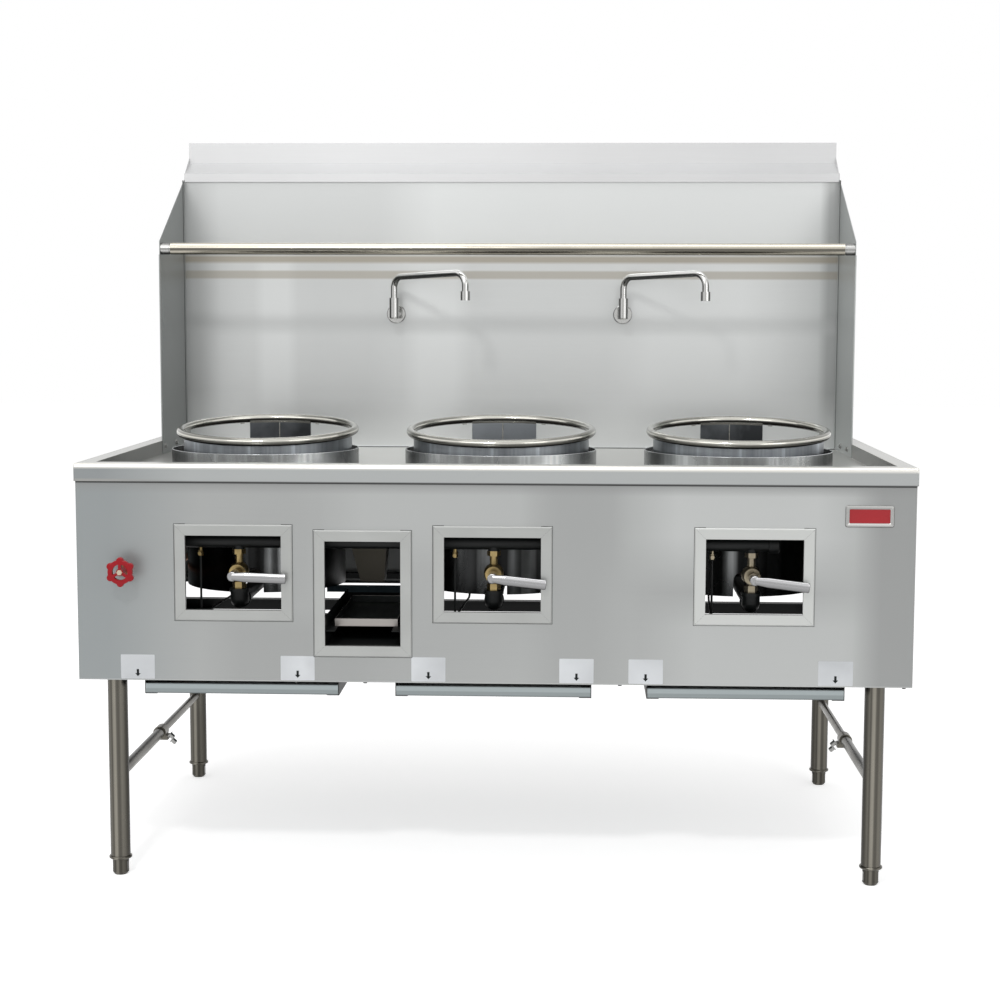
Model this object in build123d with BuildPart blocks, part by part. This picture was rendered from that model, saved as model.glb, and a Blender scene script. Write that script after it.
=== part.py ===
from build123d import *
import math
import os

# Gas wok range with three chambers, a splash back with two wall faucets, and an open stand.
# Millimetres, +Z up, front towards -Y.  The origin is on the floor, under the middle of the
# overall box.  Depths ("d") are measured backwards from the front face of the deck's rim.

# ---------------------------------------------------------------- stock and clearances
sheet = 1.5  # stainless sheet of the body, the deck and the splash back
tray_sheet = 1.2  # sheet of the pull-out trays
gap = 0.3  # clearance round pieces that lift, slide or are laid in place
fit = 0.05  # radial running clearance of a shaft in its bore
weld_gap = 0.2  # joint between members that are butted and welded

# ---------------------------------------------------------------- deck and body panels
width = 1829.0  # over the rims
rim_top = 933.0  # height of the cooking deck's rim
rim_drop = 39.0  # height of the rim's outer face
rim_side = 39.5  # flat width of the side rims
rim_front = 45.0  # flat width of the front rim
rim_round = 10.0  # rolled front edge of the rim
corner_round = 3.0  # outline of the rim's two ends
basin_deep = 35.0  # deck floor below the rim
panel_inset = 7.0  # front panel behind the rim's face
side_inset = 2.5  # side panels inside the rim's ends
panel_bottom = 454.0  # lower edge of the front and side panels
panel_below_rim = 12.0  # top of the panels below the rim's top
flange = 30.0  # folded lower flange of the panels
body_deep = 1000.0  # inner face of the rear panel
rear_bottom = 527.0  # lower edge of the rear panel
rear_hem = 10.0

# ---------------------------------------------------------------- base frame
rail_wide = 30.0
rail_high = 28.0
rail_wall = 2.0
cross_rail_d = 720.0  # front face of the cross rail behind the drip trays
stiffener = 15.0  # square bar along the lower part of the rear panel
stiffener_z = 540.0
plate_thick = 4.0  # corner plates over the legs
plate_wide = 80.0

# ---------------------------------------------------------------- openings of the front panel
station_side = 347.5  # outer chambers, valves and windows inside the rim's ends
window_wide = 211.0
window_high = 164.0
window_z = 694.0  # middle of the valve windows
bar = 24.5  # visible width of the frame bars
bar_proud = 4.0  # bars in front of the panel
bar_bevel = 2.5
lip_deep = 6.0  # frame lip behind the panel
hatch_wide = 166.0  # clean-out window, over the waste tray and its housing
hatch_high = 230.5
hatch_z = 650.0

# ---------------------------------------------------------------- chambers and wok rings
chamber_d = 455.0
collar_r = (223.5, 229.0, 223.5)  # left to right
collar_high = 38.0  # above the deck
chamber_wall = 3.0
shell_r = 190.0
shell_bottom = 611.0
arch_wide = 45.0  # notch for the feed pipe in the shell's front
arch_high = 58.0
lining_top = 6.0  # thickness of the lining's upper flange
lining_inset = 12.0  # mouth inside the shell's outline
lining_throat = 110.0
lining_deep = 187.0  # from the flange down to the throat
lining_wall = 12.0
lining_play = 1.0  # between the lining's flange and the collar
ring_r = (208.0, 217.0, 209.0)  # centreline of the wok rings' tube, left to right
ring_shift = (6.0, 1.0, 0.0)  # the loose rings stand a little off the chambers' middle
ring_tube = 9.8
ring_z = 979.0  # centre of the ring
ring_tilt = 4.4  # degrees, the front lies lower
skirt_inset = 7.0  # skirt inside the tube's centreline
skirt_wall = 2.0
skirt_open_from = 10.0  # open rear sides, degrees from the +X direction towards the rear
skirt_open_to = 67.5

# ---------------------------------------------------------------- gas train
manifold_r = 16.7
manifold_d = 80.0
manifold_z = 757.0
manifold_past = 61.0  # capped right end beyond the right valve
manifold_side = 119.5  # left run to the rear, inside the rim's end
manifold_bend = 60.0
inlet_past = 40.0  # gas and water inlets behind the rear panel
cap_r = 20.0
cap_long = 24.0
boss_r = 13.0
boss_drop = 2.5  # welded outlet below the manifold
hex_wide = 26.0  # across the flats of the valves' hexagons
top_hex = 11.0
nipple_r = 9.0
valve_z = 688.0  # axis of the valve's plug and lever
valve_ball = 22.0
bonnet_r = 19.0
bonnet_step = 2.0  # neck behind the bonnet
bonnet_front = 52.0  # depth of the bonnet's face
bonnet_long = 8.0
stem_r = 5.0
stem_long = 34.0  # stem in front of the bonnet
low_hex = 15.0
low_hex_bottom = 650.0
elbow_z = 625.0
elbow_r = 20.0
band_r = 22.0
band_long = 8.0
feed_r = 16.5
burner_lift = 2.0  # burner's disc above the feed pipe
burner_r = 70.0
burner_thick = 14.0
burner_hub_r = 28.0
jet_flat = 10.0
jet_high = 18.0
jet_row_r = (56.0, 30.0)
jet_counts = (12, 6)
arm_wide = 22.0
arm_high = 5.0
pilot_side = 86.0  # pilot valves left of the main valves
pilot_flat = 10.5
pilot_high = 12.0
pilot_knob_r = 4.0
pilot_knob_long = 8.0
pilot_tube_r = 2.5
pilot_bend = 20.0
pilot_low = 588.0  # lowest run of the pilot tubes
pilot_tip = 668.0
bracket_left = 123.0  # left bracket beyond the left valve
bracket_middle = 150.0  # two brackets beside the middle valve
bracket_right = 147.0  # right bracket before the right valve
bracket_wide = 25.0
bracket_thick = 3.0

# ---------------------------------------------------------------- lever handles
lever_tip = 118.0
lever_droop = (2.0, 6.0, 7.0)  # degrees below the horizontal at rest, left to right
lever_hub_r = 10.5
lever_hub_front = -14.0
lever_hub_back = 30.0
lever_axis_d = -12.0  # depth of the handle's centreline
lever_root = (4.5, 8.0)  # half thickness and half height beside the hub
lever_grip = (6.5, 11.0)
lever_neck = 28.0
lever_bevel = 1.5
lever_end_round = 3.0

# ---------------------------------------------------------------- water valve and pipes
water_side = 108.5  # water valve inside the rim's left end
water_z = 699.5
wheel_front = 45.0  # front of the handwheel's nut before the rim's face
wheel_nut = 4.0
wheel_thick = 10.0
wheel_lobe_r = 7.8
wheel_lobe_out = 24.5
wheel_web_r = 27.0
wheel_bore_r = 17.0
wheel_hub_r = 8.0
wheel_hub_play = 1.2  # hub in front of the gland
wheel_spoke = 6.5
gland_r = 10.0
gland_front = -6.0
valve_seat_r = 19.0
valve_body_r = 16.0
valve_back = 62.0
port_r = 12.0
port_shift = 5.0  # ports behind the valve body's middle
port_reach = 34.0
water_pipe_r = 8.0
water_bend = 28.0
supply_z = 641.0
riser_turn_z = 860.0

# ---------------------------------------------------------------- splash back
back_past = 16.0  # front face of the back panel behind the rear panel's inner face
splash_deep = 56.0  # back panel's face to the riser's face
back_foot = 22.0
wing_front = 705.0
wing_corner_z = 1438.0
wing_top_z = 1612.0
wing_hem = 8.0
cap_lip_bottom = 1606.0
cap_lip_top = 1628.0
cap_lip_out = 6.0  # lip's face in front of the back panel
riser_foot_z = 1660.0
overall_high = 1714.0
cap_inset = 3.5  # cap and rear cover inside the basin's ends
gusset_rise = 14.0
post_x = (-600.0, -120.0, 120.0, 600.0)
post_wide = 40.0
post_deep = 19.0
rail_r = 15.0
rail_z = 1419.5
rail_d = 722.0
rail_tube = 1.5
socket_long = 22.0
socket_groove = 3.0
spigot_long = 15.0

# ---------------------------------------------------------------- wall faucets
faucet_x = 304.0
faucet_z = 1255.5
faucet_out = 61.0  # swivel axis in front of the wall
flange_r = 25.5
flange_thick = 6.0
faucet_arm_r = 10.5
socket_r = 12.5
socket_bottom = 1243.0
socket_top = 1298.0
socket_bore_floor = 1262.0
spout_r = 8.5
spout_shoulder_z = 1353.0
spout_end_z = 1361.0
spout_reach = 290.0
spout_bends = (30.0, 34.0)
spout_turn = 46.0  # degrees from the wall's direction at rest
aerator_r = 12.0
aerator_bevel = 1.0
aerator_top = 1314.0
aerator_bottom = 1291.0
aerator_bore = 8.0
aerator_bore_deep = 10.0

# ---------------------------------------------------------------- trays, housing and chute
drip_side = 12.0  # outer trays' pitch line inside the legs
drip_gap = 126.0  # between two trays
drip_shift = 2.0  # middle tray to the right of the middle
drip_front = 10.0
drip_long = 700.0
drip_bottom = 424.8
drip_high = 21.7
drip_lip = 12.0
runner_front = 12.0
runner_lip = 27.0
runner_flange = 20.0
runner_side_gap = 0.5
waste_wide = 140.0
waste_front = 75.0
waste_long = 340.0
waste_bottom = 567.0
waste_high = 16.5
waste_hem = 5.0
housing_wide = 170.0
housing_long = 446.0
housing_top = 595.0
housing_ear = 15.0
guide_wide = 23.0
crossbar_wide = 274.0
crossbar = 15.0
crossbar_z = 586.0
chute_d = 230.0
chute_lean = 19.5  # chute's top to the left of its foot
chute_top = (134.0, 120.0)  # width and depth below the deck
chute_low = (54.0, 50.0)
chute_bottom = 648.0
chute_flange = 10.0
drain_rim = 12.0  # deck left round the drain hole inside the chute
drain_round = 20.0

# ---------------------------------------------------------------- stand
leg_side = 74.5  # legs inside the rim's ends
leg_front_d = 60.0
leg_rear_d = 934.0
leg_r = 22.0
leg_wall = 1.5
bead_r = 25.5
bead_high = 6.0
plug_high = 42.0
foot_r = 18.25
foot_high = 36.7
foot_toe_r = 14.0
foot_toe = 6.0
foot_flat = 33.0  # across the spanner flats
foot_stem_r = 6.0
foot_stem = 36.0
brace_z = 228.0
brace_front_r = 12.5
brace_rear_r = 9.8
brace_wall = 1.5
brace_overlap_from = 440.0
brace_overlap_to = 500.0
clamp_long = 34.0
clamp_thick = 3.5
clamp_ear = 20.0
clamp_ear_thick = 10.0

# ---------------------------------------------------------------- derived
half = width / 2
pitch = half - station_side
hatch_x = -pitch / 2
water_x = water_side - half
manifold_left = manifold_side - half
manifold_end = pitch + manifold_past
bracket_x = (-pitch - bracket_left, -bracket_middle, bracket_middle, pitch - bracket_right)
leg_x = half - leg_side
drip_pitch = (leg_x - drip_side) * 2 / 3
drip_wide = drip_pitch - drip_gap
drip_centres = (-drip_pitch, drip_shift, drip_pitch)
chute_x = hatch_x - chute_lean
rim_bottom = rim_top - rim_drop
deck_z = rim_top - basin_deep
back_d = body_deep + back_past
deck_deep = back_d + splash_deep
rear_d = deck_deep + 2 * sheet
y_rim = (wheel_front - rear_d) / 2
basin_half = half - rim_side
cap_half = basin_half - cap_inset
panel_half = half - side_inset
panel_top = rim_top - panel_below_rim
inner_half = panel_half - sheet
panel_back = panel_inset + sheet
rail_z0 = panel_bottom + sheet
collar_top = deck_z + collar_high
seat_z = deck_z + chamber_wall
lining_z = seat_z + lining_top
skirt_z = lining_z + gap
wing_in = basin_half - sheet
pipe_d = back_d + splash_deep / 2 + sheet
inlet_d = body_deep + sheet + inlet_past
leg_foot = foot_high + gap
burner_z = elbow_z + feed_r + burner_lift
hub_z = elbow_z - feed_r - burner_lift
port_d = (panel_back + valve_back) / 2 + port_shift
sides = ("left", "middle", "right")
stations = (-pitch, 0.0, pitch)

os.makedirs("parts", exist_ok=True)


def y(d):
    """World Y of a depth behind the rim's front face."""
    return y_rim + d


def facing(d):
    """Plane that looks forwards at depth d, with X to the right and Z up."""
    return Plane((0, y(d), 0), x_dir=(1, 0, 0), z_dir=(0, -1, 0))


def level(z):
    """Horizontal plane at height z, with its origin in the rim's face."""
    return Plane((0, y_rim, z))


def block(x0, x1, d0, d1, z0, z1, mode=Mode.ADD):
    """Rectangular bar between two X, two depths and two heights."""
    with Locations(((x0 + x1) / 2, y((d0 + d1) / 2), (z0 + z1) / 2)):
        Box(abs(x1 - x0), abs(d1 - d0), abs(z1 - z0), mode=mode)


def depths(points):
    """Profile points (d, z) as coordinates of a YZ plane."""
    return [(y(d), z) for d, z in points]


def save(piece, name):
    """Label a finished piece and write it."""
    piece.part.label = name
    export_step(piece.part, f"parts/{name}.step")


def turned(points, x, d):
    """Solid of revolution about the upright line through (x, d)."""
    with BuildPart() as solid:
        with BuildSketch(Plane((x, y(d), 0), x_dir=(1, 0, 0), z_dir=(0, -1, 0))):
            with BuildLine():
                Polyline(*points, close=True)
            make_face()
        revolve(axis=Axis((x, y(d), 0), (0, 0, 1)))
    return solid.part


def tube_run(points, bends, outer):
    """Round pipe along straight runs joined by tangent arcs; points are (x, d, z)."""
    with BuildPart() as run:
        with BuildLine() as path:
            FilletPolyline(*[(px, y(d), z) for px, d, z in points], radius=bends)
        with BuildSketch(Plane(origin=path.line @ 0, z_dir=path.line % 0)):
            Circle(outer)
        sweep()
    return run.part


def rim_block(inset):
    """Block of the deck with its rolled front edge and crisp ends, drawn in by a thickness."""
    with BuildPart() as body:
        with BuildSketch(level(rim_bottom + inset)):
            with Locations((0, inset)):
                Rectangle(width - 2 * inset, deck_deep - 2 * inset, align=(Align.CENTER, Align.MIN))
        extrude(amount=rim_drop - 2 * inset)
        fillet(body.faces().sort_by(Axis.Z)[-1].edges().sort_by(Axis.Y)[0], rim_round - inset)
        for end in (0, -1):
            end_edges = body.faces().sort_by(Axis.X)[end].edges()
            outline = end_edges.sort_by(Axis.Z)[1:].sort_by(Axis.Y)[:-1]
            fillet(outline, corner_round - inset)
    return body.part


# ================================================================ deck
rim_outside = rim_block(0)
rim_hollow = rim_block(sheet)
with BuildPart() as deck_basin:
    add(rim_outside)
    add(rim_hollow, mode=Mode.SUBTRACT)
    block(
        -panel_half, panel_half, panel_inset, deck_deep - sheet, rim_bottom, rim_bottom + sheet,
        Mode.SUBTRACT,
    )
    block(
        -basin_half - sheet, basin_half + sheet, rim_front - sheet, deck_deep,
        deck_z - sheet, rim_top - sheet,
    )
    block(-basin_half, basin_half, rim_front, deck_deep + sheet, deck_z, rim_top + sheet, Mode.SUBTRACT)
    with BuildSketch(level(deck_z)):
        for x in stations:
            with Locations((x, chamber_d)):
                Circle(shell_r + gap)
        with Locations((chute_x, chute_d)):
            RectangleRounded(chute_top[0] - 2 * drain_rim, chute_top[1] - 2 * drain_rim, drain_round)
        with Locations((water_x, pipe_d)):
            Circle(water_pipe_r + gap)
    extrude(amount=-2 * sheet, mode=Mode.SUBTRACT)
save(deck_basin, "deck_basin")

# ================================================================ body panels
with BuildPart() as front_panel:
    with BuildSketch(Plane.YZ):
        with BuildLine():
            Polyline(
                *depths(
                    [
                        (rim_front - sheet, panel_top),
                        (panel_inset, panel_top),
                        (panel_inset, panel_bottom),
                        (panel_inset + flange, panel_bottom),
                    ]
                )
            )
            offset(amount=sheet, side=Side.LEFT, kind=Kind.INTERSECTION)
        make_face()
    extrude(amount=panel_half, both=True)
    for side in (-1, 1):
        block(
            side * (basin_half + sheet), side * half, panel_back, rim_front, panel_top - sheet, rim_top,
            Mode.SUBTRACT,
        )
        block(
            side * (panel_half - flange), side * half, panel_back, 2 * flange,
            rim_bottom - rim_top, rail_z0, Mode.SUBTRACT,
        )
    with BuildSketch(facing(panel_inset)):
        for x in stations:
            with Locations((x, window_z)):
                Rectangle(window_wide + 2 * (sheet + gap), window_high + 2 * (sheet + gap))
        with Locations((hatch_x, hatch_z)):
            Rectangle(hatch_wide + 2 * (sheet + gap), hatch_high + 2 * (sheet + gap))
        with Locations((water_x, water_z)):
            Circle(gland_r + gap)
    extrude(amount=-2 * sheet, mode=Mode.SUBTRACT)
save(front_panel, "front_panel")

with BuildPart() as side_panel_right:
    with BuildSketch(facing(panel_back)):
        with BuildLine():
            Polyline(
                (basin_half + sheet, panel_top),
                (panel_half, panel_top),
                (panel_half, panel_bottom),
                (panel_half - flange, panel_bottom),
            )
            offset(amount=sheet, side=Side.RIGHT, kind=Kind.INTERSECTION)
        make_face()
    extrude(amount=panel_back - body_deep - sheet)
save(side_panel_right, "side_panel_right")

with BuildPart() as side_panel_left:
    mirror(side_panel_right.part, about=Plane.YZ)
save(side_panel_left, "side_panel_left")

with BuildPart() as rear_panel:
    with BuildSketch(Plane.YZ):
        with BuildLine():
            Polyline(
                *depths(
                    [
                        (body_deep + sheet, deck_z - sheet),
                        (body_deep + sheet, rear_bottom),
                        (body_deep - rear_hem, rear_bottom),
                    ]
                )
            )
            offset(amount=sheet, side=Side.RIGHT, kind=Kind.INTERSECTION)
        make_face()
    extrude(amount=inner_half, both=True)
    with BuildSketch(facing(body_deep)):
        with Locations((manifold_left, manifold_z)):
            Circle(manifold_r + gap)
        with Locations((water_x, supply_z), (water_x, riser_turn_z)):
            Circle(water_pipe_r + gap)
    extrude(amount=-2 * sheet, mode=Mode.SUBTRACT)
    block(-inner_half, -basin_half - sheet, body_deep - rear_hem, body_deep + 2 * sheet, panel_top - sheet,
          rim_top, Mode.SUBTRACT)
save(rear_panel, "rear_panel")

# ================================================================ base frame
rail_in = inner_half - rail_wide
with BuildPart() as base_frame:
    for d0, z0 in ((panel_back, rail_z0), (cross_rail_d, panel_bottom), (body_deep - rail_wide, rail_z0)):
        x1 = rail_in - weld_gap
        z1 = rail_z0 + rail_high
        block(-x1, x1, d0, d0 + rail_wide, z0, z1)
        block(
            -x1, x1, d0 + rail_wall, d0 + rail_wide - rail_wall,
            z0 + rail_wall, z1 - rail_wall, Mode.SUBTRACT,
        )
    for side in (-1, 1):
        x0 = side * rail_in
        x1 = side * inner_half
        z1 = rail_z0 + rail_high
        block(x0, x1, panel_back, body_deep - weld_gap, rail_z0, z1)
        block(
            x0 + side * rail_wall, x1 - side * rail_wall, panel_back, body_deep,
            rail_z0 + rail_wall, z1 - rail_wall, Mode.SUBTRACT,
        )
        for d0, d1 in (
            (panel_back + rail_wide + weld_gap, leg_front_d + plate_wide / 2),
            (leg_rear_d - plate_wide / 2, body_deep - rail_wide - weld_gap),
        ):
            block(
                side * (rail_in - plate_wide), x0 - side * weld_gap, d0, d1,
                rail_z0, rail_z0 + plate_thick,
            )
    block(
        -inner_half + weld_gap, inner_half - weld_gap, body_deep - stiffener, body_deep,
        stiffener_z, stiffener_z + stiffener,
    )
save(base_frame, "base_frame")


# ================================================================ window frames
def mitred_frame(x, z, clear_wide, clear_high):
    """Four mitred bars with bevelled faces, and a lip that lines the hole in the panel."""
    with BuildPart() as frame:
        with BuildSketch(facing(panel_inset)):
            with Locations((x, z)):
                Rectangle(clear_wide + 2 * bar, clear_high + 2 * bar)
        extrude(amount=bar_proud)
        chamfer(frame.faces().sort_by(Axis.Y)[0].edges(), bar_bevel)
        with BuildSketch(facing(panel_inset)):
            with Locations((x, z)):
                Rectangle(clear_wide + 2 * sheet, clear_high + 2 * sheet)
        extrude(amount=-lip_deep)
        with BuildSketch(facing(panel_inset - bar_proud)):
            with Locations((x, z)):
                Rectangle(clear_wide, clear_high)
        extrude(amount=-bar_proud - lip_deep, mode=Mode.SUBTRACT)
        for sx in (-1, 1):
            for sz in (-1, 1):
                corner = (x + sx * (clear_wide + bar) / 2, y(panel_inset), z + sz * (clear_high + bar) / 2)
                with Locations(Location(corner, (0, -45 * sx * sz, 0))):
                    Box(2 * bar, 4 * (bar_proud + lip_deep), weld_gap, mode=Mode.SUBTRACT)
    return frame.part


with BuildPart() as valve_window_frames:
    for x in stations:
        add(mitred_frame(x, window_z, window_wide, window_high))
save(valve_window_frames, "valve_window_frames")

with BuildPart() as cleanout_frame:
    add(mitred_frame(hatch_x, hatch_z, hatch_wide, hatch_high))
save(cleanout_frame, "cleanout_frame")

# ================================================================ chambers, linings, wok rings
for name, x, collar, tube, shift in zip(sides, stations, collar_r, ring_r, ring_shift):
    with BuildPart() as chamber:
        add(
            turned(
                [
                    (collar - chamber_wall, collar_top),
                    (collar, collar_top),
                    (collar, deck_z),
                    (shell_r, deck_z),
                    (shell_r, shell_bottom),
                    (shell_r - chamber_wall, shell_bottom),
                    (shell_r - chamber_wall, seat_z),
                    (collar - chamber_wall, seat_z),
                ],
                x,
                chamber_d,
            )
        )
        with BuildSketch(facing(chamber_d - shell_r - chamber_wall)):
            with Locations((x, shell_bottom)):
                Rectangle(arch_wide, arch_high - arch_wide / 2, align=(Align.CENTER, Align.MIN))
            with Locations((x, shell_bottom + arch_high - arch_wide / 2)):
                Circle(arch_wide / 2)
        extrude(amount=-shell_r, mode=Mode.SUBTRACT)
        fillet(chamber.faces().sort_by(Axis.Z)[-1].edges(), chamber_wall / 3)
    save(chamber, f"chamber_{name}")

    liner_out = shell_r - chamber_wall - gap
    lining_mouth = shell_r - lining_inset
    throat_z = lining_z - lining_deep
    flange_out = collar - chamber_wall - lining_play
    with BuildPart() as lining:
        add(
            turned(
                [
                    (flange_out, seat_z),
                    (flange_out, lining_z),
                    (lining_mouth, lining_z),
                    (lining_throat, throat_z),
                    (lining_throat + lining_wall, throat_z),
                    (liner_out, seat_z - lining_wall),
                    (liner_out, seat_z),
                ],
                x,
                chamber_d,
            )
        )
    save(lining, f"chamber_lining_{name}")

    ring_x = x + shift
    skirt_r = tube - skirt_inset
    with BuildPart() as wok_ring:
        with BuildSketch(level(skirt_z)):
            with Locations((ring_x, chamber_d)):
                Circle(skirt_r)
                Circle(skirt_r - skirt_wall, mode=Mode.SUBTRACT)
                far = 2 * skirt_r
                for side in (-1, 1):
                    wedge = [
                        (side * far * math.cos(math.radians(a)), far * math.sin(math.radians(a)))
                        for a in (skirt_open_from, (skirt_open_from + skirt_open_to) / 2, skirt_open_to)
                    ]
                    Polygon((0, 0), *wedge, align=None, mode=Mode.SUBTRACT)
        extrude(amount=2 * (ring_z - skirt_z))
        tilted = Plane((ring_x, y(chamber_d), ring_z)).rotated((ring_tilt, 0, 0))
        split(bisect_by=tilted, keep=Keep.BOTTOM)
        with BuildSketch(Plane(tilted.origin, x_dir=(1, 0, 0), z_dir=-tilted.y_dir)):
            with Locations((tube, 0)):
                Circle(ring_tube)
        revolve(axis=Axis(tilted.origin, tilted.z_dir))
    save(wok_ring, f"wok_ring_{name}")

# ================================================================ burners
for name, x in zip(sides, stations):
    with BuildPart() as burner:
        with BuildSketch(level(burner_z)):
            with Locations((x, chamber_d)):
                Circle(burner_r)
        extrude(amount=burner_thick)
        chamfer(burner.edges(), burner_thick / 5)
        with BuildSketch(level(burner_z)):
            with Locations((x, chamber_d)):
                Circle(burner_hub_r)
        extrude(amount=hub_z - burner_z)
        with BuildSketch(level(burner_z + burner_thick)):
            for row_r, count in zip(jet_row_r, jet_counts):
                with Locations((x, chamber_d)):
                    with PolarLocations(row_r, count):
                        RegularPolygon(jet_flat / 2, 6, major_radius=False)
        extrude(amount=jet_high)
        with BuildSketch(level(burner_z)):
            with Locations((x, chamber_d)):
                with PolarLocations(burner_hub_r / 2, 3, start_angle=-30):
                    Rectangle(shell_r, arm_wide, align=(Align.MIN, Align.CENTER))
                Circle(shell_r - chamber_wall - gap, mode=Mode.INTERSECT)
        extrude(amount=-arm_high)
    save(burner, f"burner_{name}")

# ================================================================ gas train
manifold_run = tube_run(
    [(manifold_end, manifold_d, manifold_z), (manifold_left, manifold_d, manifold_z),
     (manifold_left, inlet_d, manifold_z)],
    manifold_bend,
    manifold_r,
)
boss_z = manifold_z - manifold_r - boss_drop
with BuildPart() as gas_manifold:
    add(manifold_run)
    with BuildSketch(Plane.YZ.offset(manifold_end - cap_long)):
        with Locations((y(manifold_d), manifold_z)):
            Circle(cap_r)
    extrude(amount=cap_long)
    fillet(gas_manifold.faces().sort_by(Axis.X)[-1].edges(), cap_r / 5)
    with BuildSketch(level(manifold_z)):
        for x in stations:
            with Locations((x, manifold_d)):
                Circle(boss_r)
    extrude(amount=boss_z - manifold_z)
save(gas_manifold, "gas_manifold")

with BuildPart() as manifold_brackets:
    for x in bracket_x:
        with BuildSketch(Plane.YZ.offset(x - bracket_wide / 2)):
            with BuildLine():
                Polyline(
                    *depths(
                        [
                            (panel_back, manifold_z + 3 * manifold_r),
                            (panel_back, manifold_z + manifold_r),
                            (manifold_d + manifold_r, manifold_z + manifold_r),
                            (manifold_d + manifold_r, manifold_z + manifold_r + bracket_thick),
                            (panel_back + bracket_thick, manifold_z + manifold_r + bracket_thick),
                            (panel_back + bracket_thick, manifold_z + 3 * manifold_r),
                        ]
                    ),
                    close=True,
                )
            make_face()
        extrude(amount=bracket_wide)
save(manifold_brackets, "manifold_brackets")

for name, x in zip(sides, stations):
    with BuildPart() as gas_valve:
        with BuildSketch(level(boss_z)):
            with Locations((x, manifold_d)):
                RegularPolygon(hex_wide / 2, 6, major_radius=False)
        extrude(amount=-top_hex)
        with BuildSketch(level(boss_z - top_hex)):
            with Locations((x, manifold_d)):
                Circle(nipple_r)
        extrude(amount=low_hex_bottom + low_hex - boss_z + top_hex)
        with Locations((x, y(manifold_d), valve_z)):
            Sphere(valve_ball)
        with BuildSketch(facing(manifold_d)):
            with Locations((x, valve_z)):
                Circle(bonnet_r - bonnet_step)
        extrude(amount=manifold_d - bonnet_front)
        with BuildSketch(facing(bonnet_front + bonnet_long)):
            with Locations((x, valve_z)):
                Circle(bonnet_r)
        extrude(amount=bonnet_long)
        chamfer(gas_valve.faces().sort_by(Axis.Y)[0].edges(), bonnet_long / 6)
        with BuildSketch(facing(bonnet_front)):
            with Locations((x, valve_z)):
                Circle(stem_r)
        extrude(amount=stem_long)
        with BuildSketch(level(low_hex_bottom)):
            with Locations((x, manifold_d)):
                RegularPolygon(hex_wide / 2, 6, major_radius=False)
        extrude(amount=low_hex)
    save(gas_valve, f"gas_valve_{name}")

with BuildPart() as feed_pipes:
    for x in stations:
        with BuildSketch(level(low_hex_bottom)):
            with Locations((x, manifold_d)):
                Circle(elbow_r)
        extrude(amount=elbow_z - low_hex_bottom)
        with Locations((x, y(manifold_d), elbow_z)):
            Sphere(elbow_r)
        with BuildSketch(facing(manifold_d)):
            with Locations((x, elbow_z)):
                Circle(elbow_r)
        extrude(amount=-elbow_r - band_long)
        with BuildSketch(level(low_hex_bottom)):
            with Locations((x, manifold_d)):
                Circle(band_r)
        extrude(amount=-band_long)
        with BuildSketch(facing(manifold_d + elbow_r)):
            with Locations((x, elbow_z)):
                Circle(band_r)
        extrude(amount=-band_long)
        with BuildSketch(facing(manifold_d)):
            with Locations((x, elbow_z)):
                Circle(feed_r)
        extrude(amount=manifold_d - chamber_d)
        with BuildSketch(level(burner_z)):
            with Locations((x, chamber_d)):
                Circle(burner_hub_r)
        extrude(amount=hub_z - burner_z, mode=Mode.SUBTRACT)
save(feed_pipes, "feed_pipes")

with BuildPart() as pilot_valves:
    for x in stations:
        with BuildSketch(level(manifold_z - manifold_r / 2)):
            with Locations((x - pilot_side, manifold_d)):
                Circle(pilot_knob_r)
        extrude(amount=manifold_r / 2 - manifold_r - pilot_high / 2)
        with BuildSketch(level(manifold_z - manifold_r - pilot_high / 2)):
            with Locations((x - pilot_side, manifold_d)):
                RegularPolygon(pilot_flat / 2, 6, major_radius=False)
        extrude(amount=-pilot_high)
        with BuildSketch(facing(manifold_d)):
            with Locations((x - pilot_side, manifold_z - manifold_r - pilot_high)):
                Circle(pilot_knob_r)
        extrude(amount=pilot_flat / 2 + pilot_knob_long)
    with BuildSketch(Plane.YZ):
        with Locations((y(manifold_d), manifold_z)):
            Circle(manifold_r)
    extrude(amount=half, both=True, mode=Mode.SUBTRACT)
save(pilot_valves, "pilot_valves")

pilot_base = manifold_z - manifold_r - 1.5 * pilot_high
pilot_runs = [
    tube_run(
        [
            (x - pilot_side, manifold_d, pilot_base),
            (x - pilot_side, manifold_d, pilot_low),
            (x - burner_r, chamber_d - burner_r, pilot_low),
            (x - burner_r, chamber_d - burner_r, pilot_tip),
        ],
        [pilot_bend, pilot_bend],
        pilot_tube_r,
    )
    for x in stations
]
with BuildPart() as pilot_tubes:
    for run in pilot_runs:
        add(run)
save(pilot_tubes, "pilot_tubes")

# ================================================================ lever handles
for name, x, droop in zip(sides, stations, lever_droop):
    axis_at = (x, y(lever_axis_d), valve_z)
    along = (math.cos(math.radians(droop)), 0, -math.sin(math.radians(droop)))
    across = Plane(axis_at, x_dir=(0, 1, 0), z_dir=along)
    with BuildPart() as lever:
        with BuildSketch(facing(lever_hub_back)):
            with Locations((x, valve_z)):
                Circle(lever_hub_r)
        extrude(amount=lever_hub_back - lever_hub_front)
        chamfer(lever.faces().sort_by(Axis.Y)[0].edges(), lever_bevel)
        with BuildSketch(across):
            Ellipse(*lever_root)
        with BuildSketch(across.offset(lever_neck)):
            Ellipse(*lever_grip)
        loft()
        with BuildSketch(across.offset(lever_neck)):
            Ellipse(*lever_grip)
        extrude(amount=lever_tip - lever_neck)
        fillet(lever.faces().sort_by(Axis.X)[-1].edges(), lever_end_round)
        with BuildSketch(facing(lever_hub_back)):
            with Locations((x, valve_z)):
                Circle(stem_r + fit)
        extrude(amount=lever_hub_back - bonnet_front + stem_long + gap, mode=Mode.SUBTRACT)
    save(lever, f"valve_lever_{name}")

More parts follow.
